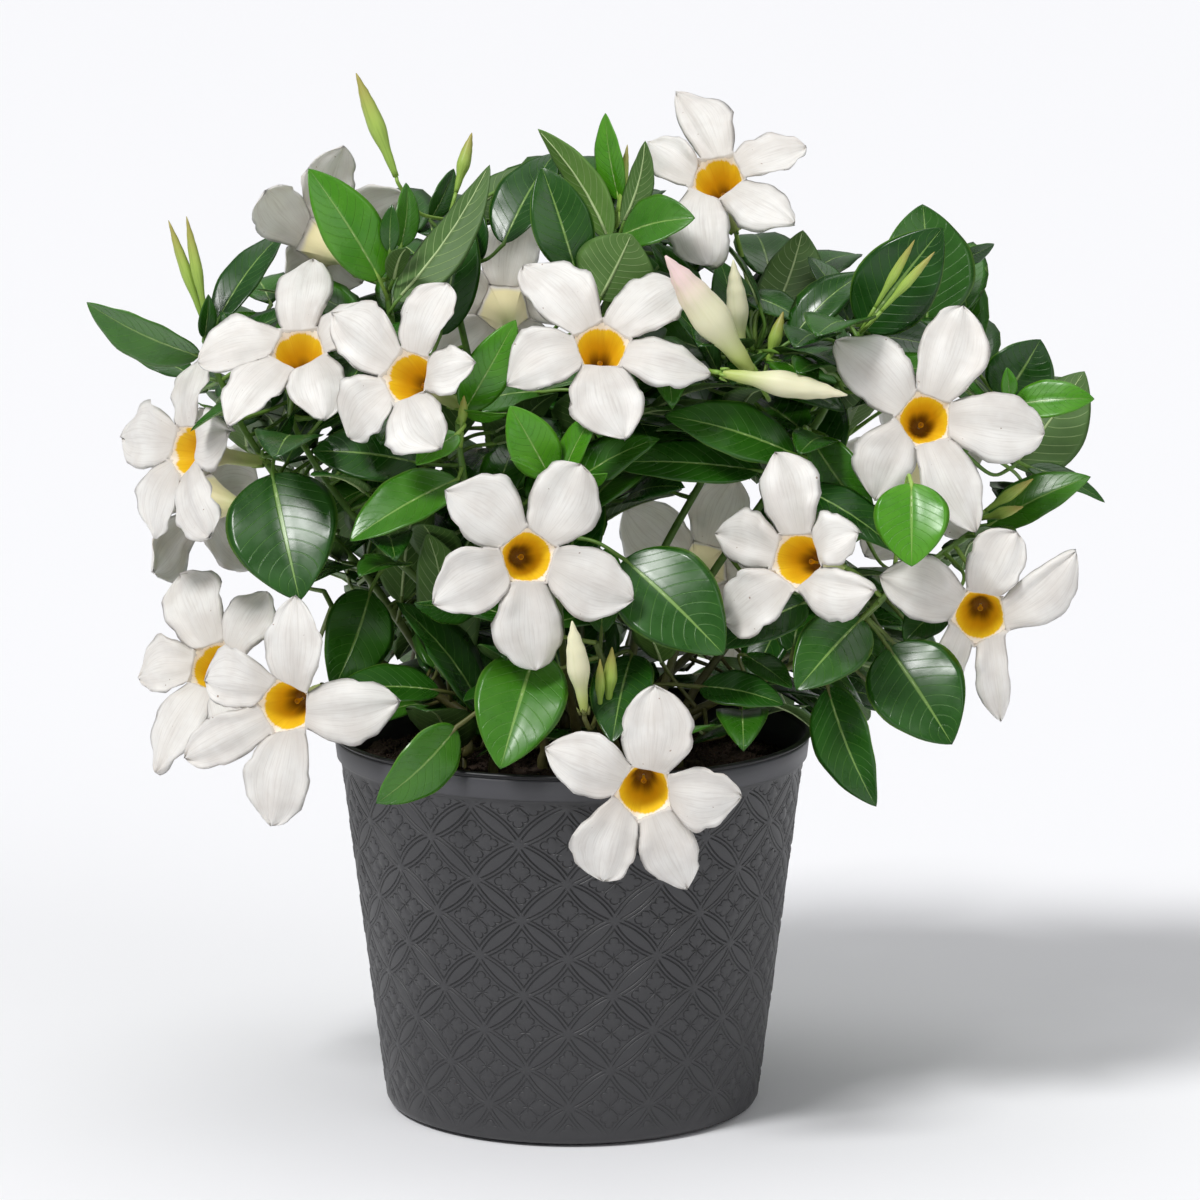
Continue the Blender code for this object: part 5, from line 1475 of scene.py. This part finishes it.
class Paint:
    """Short names for one material's nodes."""

    def __init__(self, name):
        self.made = bpy.data.materials.new(name)
        self.made.use_nodes = True
        self.tree = self.made.node_tree
        self.shader = self.tree.nodes["Principled BSDF"]
        place = add_node(self.tree, "ShaderNodeAttribute", attribute_name="place")
        split = add_node(self.tree, "ShaderNodeSeparateXYZ", {"Vector": place.outputs["Vector"]})
        self.u = split.outputs["X"]
        self.v = split.outputs["Y"]
        self.tone = add_node(self.tree, "ShaderNodeAttribute", attribute_name="tone").outputs["Fac"]
        self.where = add_node(self.tree, "ShaderNodeTexCoord").outputs["Object"]

    def math(self, operation, a, b=0.0, c=0.0):
        return add_node(self.tree, "ShaderNodeMath", {0: a, 1: b, 2: c}, operation=operation).outputs[0]

    def ramp(self, value, low, high, to_low=0.0, to_high=1.0):
        return add_node(
            self.tree,
            "ShaderNodeMapRange",
            {"Value": value, "From Min": low, "From Max": high, "To Min": to_low, "To Max": to_high},
            interpolation_type="SMOOTHSTEP",
        ).outputs["Result"]

    def mix(self, share, a, b, blend="MIX"):
        a = (*a, 1.0) if isinstance(a, tuple) and len(a) == 3 else a
        b = (*b, 1.0) if isinstance(b, tuple) and len(b) == 3 else b
        node = add_node(self.tree, "ShaderNodeMix", data_type="RGBA", blend_type=blend)
        for key, value in ((0, share), (6, a), (7, b)):
            if isinstance(value, bpy.types.NodeSocket):
                self.tree.links.new(value, node.inputs[key])
            else:
                node.inputs[key].default_value = value
        return node.outputs[2]

    def noise(self, size, detail=3.0, stretch=None, roughness=0.5):
        """Noise whose grain is this many millimetres."""
        where = self.where
        if stretch is not None:
            where = stretch
        return add_node(
            self.tree,
            "ShaderNodeTexNoise",
            {"Vector": where, "Scale": 1000.0 / size, "Detail": detail, "Roughness": roughness},
        ).outputs["Fac"]

    def along(self, u_scale, v_scale):
        """Coordinates that run with the leaf or petal."""
        joined = add_node(
            self.tree,
            "ShaderNodeCombineXYZ",
            {
                "X": self.math("MULTIPLY", self.u, u_scale),
                "Y": self.math("MULTIPLY", self.v, v_scale),
                "Z": self.tone,
            },
        )
        return joined.outputs["Vector"]

    def streaks(self, u_scale, v_scale, detail=3.0):
        return add_node(
            self.tree,
            "ShaderNodeTexNoise",
            {"Vector": self.along(u_scale, v_scale), "Scale": 1.0, "Detail": detail},
        ).outputs["Fac"]

    def bump(self, height, depth, strength=1.0, under=None):
        inputs = {"Height": height, "Distance": depth * MM, "Strength": strength}
        if under is not None:
            inputs["Normal"] = under
        return add_node(self.tree, "ShaderNodeBump", inputs).outputs["Normal"]

    def finish(self, colour=None, roughness=None, normal=None, **constants):
        if colour is not None:
            self.tree.links.new(colour, self.shader.inputs["Base Color"])
        if isinstance(roughness, bpy.types.NodeSocket):
            self.tree.links.new(roughness, self.shader.inputs["Roughness"])
        elif roughness is not None:
            self.shader.inputs["Roughness"].default_value = roughness
        if normal is not None:
            self.tree.links.new(normal, self.shader.inputs["Normal"])
        for key, value in constants.items():
            self.shader.inputs[key.replace("_", " ")].default_value = value
        return self.made


def leaf_veins(paint):
    """How much of a vein lies at each place of a leaf: the midrib and its arched side veins."""
    v = paint.math("ABSOLUTE", paint.v)
    lean = paint.math("MULTIPLY", paint.math("POWER", v, 1.3), 0.24)
    course = paint.math("MULTIPLY", paint.math("SUBTRACT", paint.u, lean), 11.0)
    within = paint.math("ABSOLUTE", paint.math("SUBTRACT", paint.math("FRACT", course), 0.5))
    side = paint.ramp(within, 0.425, 0.49)
    side = paint.math("MULTIPLY", side, paint.ramp(v, 0.97, 0.72, 0.0, 1.0))
    width = paint.math("MULTIPLY_ADD", paint.u, -0.025, 0.05)
    rib = paint.ramp(paint.math("DIVIDE", v, width), 1.3, 0.6)
    return rib, side


def leaf_upper():
    paint = Paint("mandevilla_leaf_upper")
    rib, side = leaf_veins(paint)
    patch = paint.noise(14.0)
    fine = paint.noise(1.6, 4.0)
    mature = paint.mix(patch, linear("0C2E08"), linear("1E560F"))
    young = paint.mix(patch, linear("35800F"), linear("62A81E"))
    blade = paint.mix(paint.tone, mature, young)
    blade = paint.mix(paint.math("MULTIPLY", side, 0.28), blade, linear("5F9634"))
    edge = paint.ramp(paint.math("ABSOLUTE", paint.v), 0.94, 1.0)
    blade = paint.mix(paint.math("MULTIPLY", edge, 0.5), blade, linear("7FAE44"))
    blade = paint.mix(paint.math("MULTIPLY", rib, 0.6), blade, linear("93B860"))
    blade = paint.mix(paint.ramp(fine, 0.62, 0.8, 0.0, 0.25), blade, linear("0A2A08"))
    groove = paint.math("SUBTRACT", 0.0, paint.math("MAXIMUM", side, paint.math("MULTIPLY", rib, 1.4)))
    normal = paint.bump(groove, 0.22, 0.8)
    normal = paint.bump(fine, 0.05, 0.5, normal)
    gloss = paint.ramp(patch, 0.3, 0.7, 0.24, 0.36)
    return paint.finish(blade, gloss, normal, Specular_IOR_Level=0.4, Coat_Weight=0.2, Coat_Roughness=0.2)


def leaf_lower():
    paint = Paint("mandevilla_leaf_underside")
    rib, side = leaf_veins(paint)
    patch = paint.noise(12.0)
    mature = paint.mix(patch, linear("3A5A24"), linear("557838"))
    young = paint.mix(patch, linear("5A8C2C"), linear("7CA844"))
    blade = paint.mix(paint.tone, mature, young)
    blade = paint.mix(paint.math("MULTIPLY", paint.math("MAXIMUM", side, rib), 0.6), blade, linear("9AB474"))
    normal = paint.bump(paint.math("MAXIMUM", side, rib), 0.2, 0.7)
    return paint.finish(blade, 0.55, normal)


def green_stem():
    paint = Paint("mandevilla_stem")
    height = add_node(paint.tree, "ShaderNodeSeparateXYZ", {"Vector": paint.where}).outputs["Z"]
    grain = paint.noise(3.0, 4.0)
    green = paint.mix(grain, linear("3E6A1E"), linear("6E943A"))
    fresh = paint.mix(grain, linear("7DB13E"), linear("B7D069"))
    bark = paint.mix(grain, linear("40321E"), linear("6A5A3A"))
    colour = paint.mix(paint.tone, green, fresh)
    colour = paint.mix(paint.ramp(height, 0.3, 0.2, 0.0, 0.85), colour, bark)
    return paint.finish(colour, 0.45, paint.bump(grain, 0.15, 0.5))


def pale_rib():
    paint = Paint("leaf_midrib_underside")
    grain = paint.noise(4.0)
    colour = paint.mix(grain, linear("9DB877"), linear("C0D29A"))
    return paint.finish(colour, 0.5, paint.bump(grain, 0.05, 0.4))


def green_bud():
    paint = Paint("green_bud")
    grain = paint.streaks(3.0, 26.0)
    base = paint.mix(paint.u, linear("8FB447"), linear("B9CC62"))
    tipped = paint.mix(paint.ramp(paint.u, 0.45, 1.0, 0.0, 0.6), base, linear("9A6A3C"))
    colour = paint.mix(paint.ramp(grain, 0.45, 0.7, 0.0, 0.35), tipped, linear("6B8F33"))
    return paint.finish(colour, 0.45, paint.bump(grain, 0.2, 0.5))


def petal_white():
    paint = Paint("white_petal")
    streak = paint.streaks(2.5, 22.0, 4.0)
    cloud = paint.noise(16.0)
    body = paint.mix(paint.ramp(cloud, 0.3, 0.75), linear("EEEBE5"), linear("DDD7D0"))
    body = paint.mix(paint.ramp(streak, 0.45, 0.75, 0.0, 0.4), body, linear("C2BAB2"))
    edge = paint.ramp(paint.math("ABSOLUTE", paint.v), 0.9, 1.0)
    browned = paint.math("MULTIPLY", edge, paint.ramp(cloud, 0.5, 0.7, 0.0, 0.28))
    body = paint.mix(browned, body, linear("C8AE96"))
    speck = paint.ramp(paint.noise(2.6, 1.0), 0.79, 0.82, 0.0, 0.8)
    body = paint.mix(speck, body, linear("8A6A55"))
    fine = paint.streaks(1.0, 60.0, 2.0)
    reach = paint.math("ADD", paint.u, paint.math("MULTIPLY", paint.math("SUBTRACT", fine, 0.5), 0.12))
    shade = paint.math("MULTIPLY", paint.ramp(reach, 0.45, 0.0), 0.55)
    body = paint.mix(shade, body, linear("C9BFB4"))
    tube = paint.mix(paint.ramp(paint.u, -0.25, -0.95), linear("F0E3AE"), linear("B9C873"))
    body = paint.mix(paint.ramp(paint.u, -0.02, -0.12), body, tube)
    normal = paint.bump(streak, 0.18, 0.6)
    return paint.finish(
        body,
        0.5,
        normal,
        Subsurface_Weight=0.18,
        Subsurface_Radius=(0.004, 0.0035, 0.003),
        Subsurface_Scale=1.0,
        Sheen_Weight=0.12,
    )


def golden_throat():
    """Yellow that fades in streaks at the mouth, with a faint painted glow that stands in for the light that
    comes through the thin funnel.
    """
    paint = Paint("golden_throat")
    streak = paint.streaks(1.2, 90.0, 3.0)
    body = paint.mix(paint.ramp(paint.u, 0.05, 0.5), linear("EBC61E"), linear("DFAF10"))
    body = paint.mix(paint.ramp(paint.u, 0.5, 0.95), body, linear("7E560C"))
    body = paint.mix(paint.ramp(streak, 0.5, 0.7, 0.0, 0.3), body, linear("D29A0A"))
    mouth = paint.math("ADD", paint.u, paint.math("MULTIPLY", paint.math("SUBTRACT", streak, 0.5), 0.1))
    body = paint.mix(paint.ramp(mouth, 0.1, 0.04), body, linear("F3EBDC"))
    # Painted glow: the lining's own colour sent out as faint emission, in place of light coming through the
    # petals.
    paint.tree.links.new(body, paint.shader.inputs["Emission Color"])
    return paint.finish(
        body, 0.55, paint.bump(streak, 0.15, 0.5), Subsurface_Weight=0.2,
        Subsurface_Radius=(0.004, 0.003, 0.001), Subsurface_Scale=1.0, Emission_Strength=0.08,
    )


def cream_bud():
    paint = Paint("cream_bud")
    streak = paint.streaks(2.0, 20.0, 4.0)
    body = paint.mix(paint.ramp(paint.u, 0.05, 0.5), linear("B7C66B"), linear("E9E6C2"))
    pink = paint.math("MULTIPLY", paint.tone, paint.ramp(paint.u, 0.55, 0.9))
    body = paint.mix(pink, body, linear("EFD3D0"))
    body = paint.mix(paint.ramp(streak, 0.5, 0.75, 0.0, 0.3), body, linear("C9CB8F"))
    return paint.finish(
        body,
        0.5,
        paint.bump(streak, 0.15, 0.5),
        Subsurface_Weight=0.1,
        Subsurface_Radius=(0.004, 0.003, 0.002),
        Subsurface_Scale=1.0,
    )


def disc_edge(paint, across, up, centre_x, centre_y, radius):
    """How far a place lies outside a circle of the moulding's pattern."""
    x = paint.math("SUBTRACT", across, centre_x)
    y = paint.math("SUBTRACT", up, centre_y)
    square = paint.math("ADD", paint.math("MULTIPLY", x, x), paint.math("MULTIPLY", y, y))
    return paint.math("SUBTRACT", paint.math("SQRT", square), radius)


def line_at(paint, value, place, width):
    """A soft line where a value passes a place."""
    return paint.ramp(paint.math("ABSOLUTE", paint.math("SUBTRACT", value, place)), width, 0.0)


def moulded_lines(paint, x, y):
    """The double grooves beside each lens and the outlines of the flower in each diamond."""
    p = paint.math("FRACT", paint.math("ADD", x, y))
    q = paint.math("FRACT", paint.math("SUBTRACT", x, y))
    a = paint.math("MINIMUM", p, paint.math("SUBTRACT", 1.0, p))
    b = paint.math("MINIMUM", q, paint.math("SUBTRACT", 1.0, q))
    centre = LENS_SAGITTA - LENS_ARC
    first = disc_edge(paint, a, b, centre, 0.5, LENS_ARC)
    second = disc_edge(paint, a, b, 0.5, centre, LENS_ARC)
    lens = paint.math("MINIMUM", first, second)
    clear = paint.ramp(paint.math("MAXIMUM", a, b), 0.05, 0.12)
    grooves = paint.math("MAXIMUM", line_at(paint, lens, 0.005, 0.018), line_at(paint, lens, 0.07, 0.018))
    across = paint.math("ABSOLUTE", paint.math("SUBTRACT", paint.math("ADD", p, q), 1.0))
    along = paint.math("ABSOLUTE", paint.math("SUBTRACT", p, q))
    far = paint.math("MAXIMUM", across, along)
    side = paint.math("MINIMUM", across, along)
    tip, ear, leaf = [disc_edge(paint, far, side, *disc) for disc in PETAL_DISCS]
    petal = paint.math("MINIMUM", paint.math("MINIMUM", tip, ear), leaf)
    outline = paint.math("MULTIPLY", line_at(paint, petal, 0.012, 0.02), paint.ramp(far, 0.2, 0.28))
    cross = line_at(paint, paint.math("SUBTRACT", far, side), 0.0, 0.03)
    cross = paint.math("MULTIPLY", cross, paint.ramp(far, 0.26, 0.2))
    rib = paint.math("MULTIPLY", line_at(paint, side, 0.0, 0.022), paint.ramp(far, 0.16, 0.1))
    flower = paint.math("MAXIMUM", outline, paint.math("MAXIMUM", cross, rib))
    inside = paint.ramp(lens, 0.075, 0.09)
    flower = paint.math("MULTIPLY", flower, inside)
    return paint.math("MAXIMUM", paint.math("MULTIPLY", grooves, clear), paint.math("MULTIPLY", flower, 0.8))


def charcoal_plastic():
    """Satin plastic with the moulding's fine lines; painted shade darkens its grooves and the rim above the
    band.
    """
    paint = Paint("charcoal_polypropylene")
    split = add_node(paint.tree, "ShaderNodeSeparateXYZ", {"Vector": paint.where}).outputs
    height = split["Z"]
    turn = paint.math("ARCTAN2", split["Y"], split["X"])
    x = paint.math("MULTIPLY", paint.math("SUBTRACT", turn, PATTERN_TURN), CELLS_ROUND / (2 * math.pi))
    y = paint.math("DIVIDE", paint.math("SUBTRACT", height, CELL_TOP * MM), CELL_HEIGHT * MM)
    lines = moulded_lines(paint, x, y)
    on_wall = paint.math("MULTIPLY", paint.ramp(height, 0.004, 0.012), paint.ramp(height, 0.1755, 0.174))
    outer = paint.math("MULTIPLY", split["X"], split["X"])
    outer = paint.math("SQRT", paint.math("MULTIPLY_ADD", split["Y"], split["Y"], outer))
    wall = paint.math("MULTIPLY_ADD", height, WALL_FLARE, (WALL_FOOT_RADIUS - 1.6) * MM)
    on_wall = paint.math("MULTIPLY", on_wall, paint.math("GREATER_THAN", outer, wall))
    lines = paint.math("MULTIPLY", lines, on_wall)
    fade = paint.ramp(height, 0.01, 0.12, 0.45, 1.0)
    cloud = paint.noise(60.0, 4.0)
    grain = paint.noise(0.7, 2.0)
    dust = paint.noise(9.0, 5.0)
    body = paint.mix(cloud, linear("333335"), linear("3B3B3D"))
    body = paint.mix(paint.ramp(dust, 0.55, 0.8, 0.0, 0.25), body, linear("444446"))
    body = paint.mix(paint.ramp(height, BAND_BOTTOM * MM, (BAND_BOTTOM + 1) * MM), body, linear("434347"))
    lines = paint.math("MULTIPLY", lines, fade)
    # Painted shade: the moulding's grooves and flower outlines darkened towards near black, as shade falls in
    # them.
    body = paint.mix(paint.math("MULTIPLY", lines, 0.75), body, linear("131314"))
    # Painted shade: the groove, the lip and the rim's inside above the band's top made near black.
    body = paint.mix(paint.ramp(height, BAND_TOP * MM, (BAND_TOP + 0.6) * MM), body, linear("171719"))
    rough = paint.ramp(cloud, 0.3, 0.7, 0.4, 0.52)
    sunk = paint.math("MULTIPLY", lines, -1.0)
    normal = paint.bump(grain, 0.04, 0.6, paint.bump(sunk, 0.7, 0.9))
    return paint.finish(body, rough, normal)


def peat_soil():
    paint = Paint("peat")
    clod = paint.noise(7.0, 5.0)
    fibre = paint.noise(1.2, 4.0)
    body = paint.mix(clod, linear("1F1611"), linear("4A382A"))
    body = paint.mix(paint.ramp(fibre, 0.6, 0.75, 0.0, 0.7), body, linear("7A6048"))
    return paint.finish(body, 0.95, paint.bump(fibre, 0.5, 0.8, paint.bump(clod, 1.5, 0.8)))


def add_sun(name, come_from, spread, strength):
    """A distant soft light, so that the floor is as pale far off as near by."""
    data = bpy.data.lights.new(name, "SUN")
    data.angle = math.radians(spread)
    data.energy = strength
    lamp = bpy.data.objects.new(name, data)
    lamp.rotation_euler = (-Vector(come_from)).to_track_quat("-Z", "Y").to_euler()
    bpy.context.scene.collection.objects.link(lamp)


def make_studio():
    bpy.ops.mesh.primitive_plane_add(size=60.0, location=(0, 0, -0.0005))
    floor = bpy.context.object
    floor.name = "studio_floor"
    ground = bpy.data.materials.new("studio_paper")
    ground.use_nodes = True
    ground.node_tree.nodes["Principled BSDF"].inputs["Base Color"].default_value = (*linear("F4F4F6"), 1)
    ground.node_tree.nodes["Principled BSDF"].inputs["Roughness"].default_value = 0.9
    floor.data.materials.append(ground)
    world = bpy.data.worlds.new("studio")
    world.use_nodes = True
    world.node_tree.nodes["Background"].inputs["Color"].default_value = (0.96, 0.97, 1.0, 1)
    world.node_tree.nodes["Background"].inputs["Strength"].default_value = 0.3
    bpy.context.scene.world = world
    add_sun("key", (-0.55, -0.6, 1.0), 16, 2.2)
    add_sun("fill", (0.9, -0.9, 0.75), 40, 0.45)
    add_sun("top", (0.1, 0.25, 1.0), 40, 0.6)
    bpy.context.scene.view_settings.view_transform = "Standard"


def make_camera():
    data = bpy.data.cameras.new("photograph")
    data.lens = 144.0
    data.sensor_width = 36.0
    data.dof.use_dof = False
    camera = bpy.data.objects.new("photograph", data)
    bpy.context.scene.collection.objects.link(camera)
    camera.location = EYE * MM
    aim = seen(PICTURE_CENTRE)
    camera.rotation_euler = ((aim - EYE) * MM).to_track_quat("-Z", "Y").to_euler()
    bpy.context.scene.camera = camera


def leaf_tones(leaves):
    """Which leaves are young and light: those named from the photograph; every leaf's tone also varies a
    little by chance.
    """
    draw = random.Random(SEED)
    for plan in leaves:
        plan["tone"] = draw.uniform(0.0, 0.2)
        if plan.get("row") in YOUNG_LEAVES:
            plan["tone"] += 0.8
        elif plan.get("row") in HALF_YOUNG_LEAVES:
            plan["tone"] += 0.35


def main():
    make_camera()
    make_studio()
    shoots = {name: shoot_path(*row) for name, row in SHOOTS.items()}
    space = Space()
    add_obstacles(space)
    for name, path in shoots.items():
        space.add_rod(dense(path), STEM_FOOT_RADIUS, name)
    blooms = plan_blooms(shoots, space)
    buds = plan_buds(CREAM_BUDS, shoots, space)
    green_buds = plan_buds(GREEN_BUDS, shoots, space)
    for plan in blooms + buds + green_buds:
        space.add_rod(dense(plan["stalk"]), STALK_RADIUS, plan["owner"])
    leaves = plan_leaves(shoots, space)
    leaves += plan_added_leaves(shoots, space, blooms, leaves)
    leaf_tones(leaves)
    space.gap = SMALL_LEAF_GAP
    small_leaves = plan_small_leaves(shoots, space, blooms, leaves)
    draw = random.Random(SEED)
    for plan in blooms:
        plan["tone"] = draw.uniform(0.0, 1.0)

    finishes = [leaf_upper(), leaf_lower(), green_stem(), pale_rib(), green_bud()]
    white, yellow, cream = petal_white(), golden_throat(), cream_bud()
    make_planter(charcoal_plastic())
    make_soil(peat_soil())
    for name, path in shoots.items():
        own = [[p for p in plans if p["owner"] == name] for plans in (leaves, blooms, buds, green_buds)]
        make_shoot(f"shoot_{name}", path, *own, finishes)
    make_small_leaves(small_leaves, finishes)
    for index, plan in enumerate(blooms):
        make_bloom(index, plan, white, yellow)
    for index, plan in enumerate(buds):
        make_cream_bud(index, plan, cream)


main()
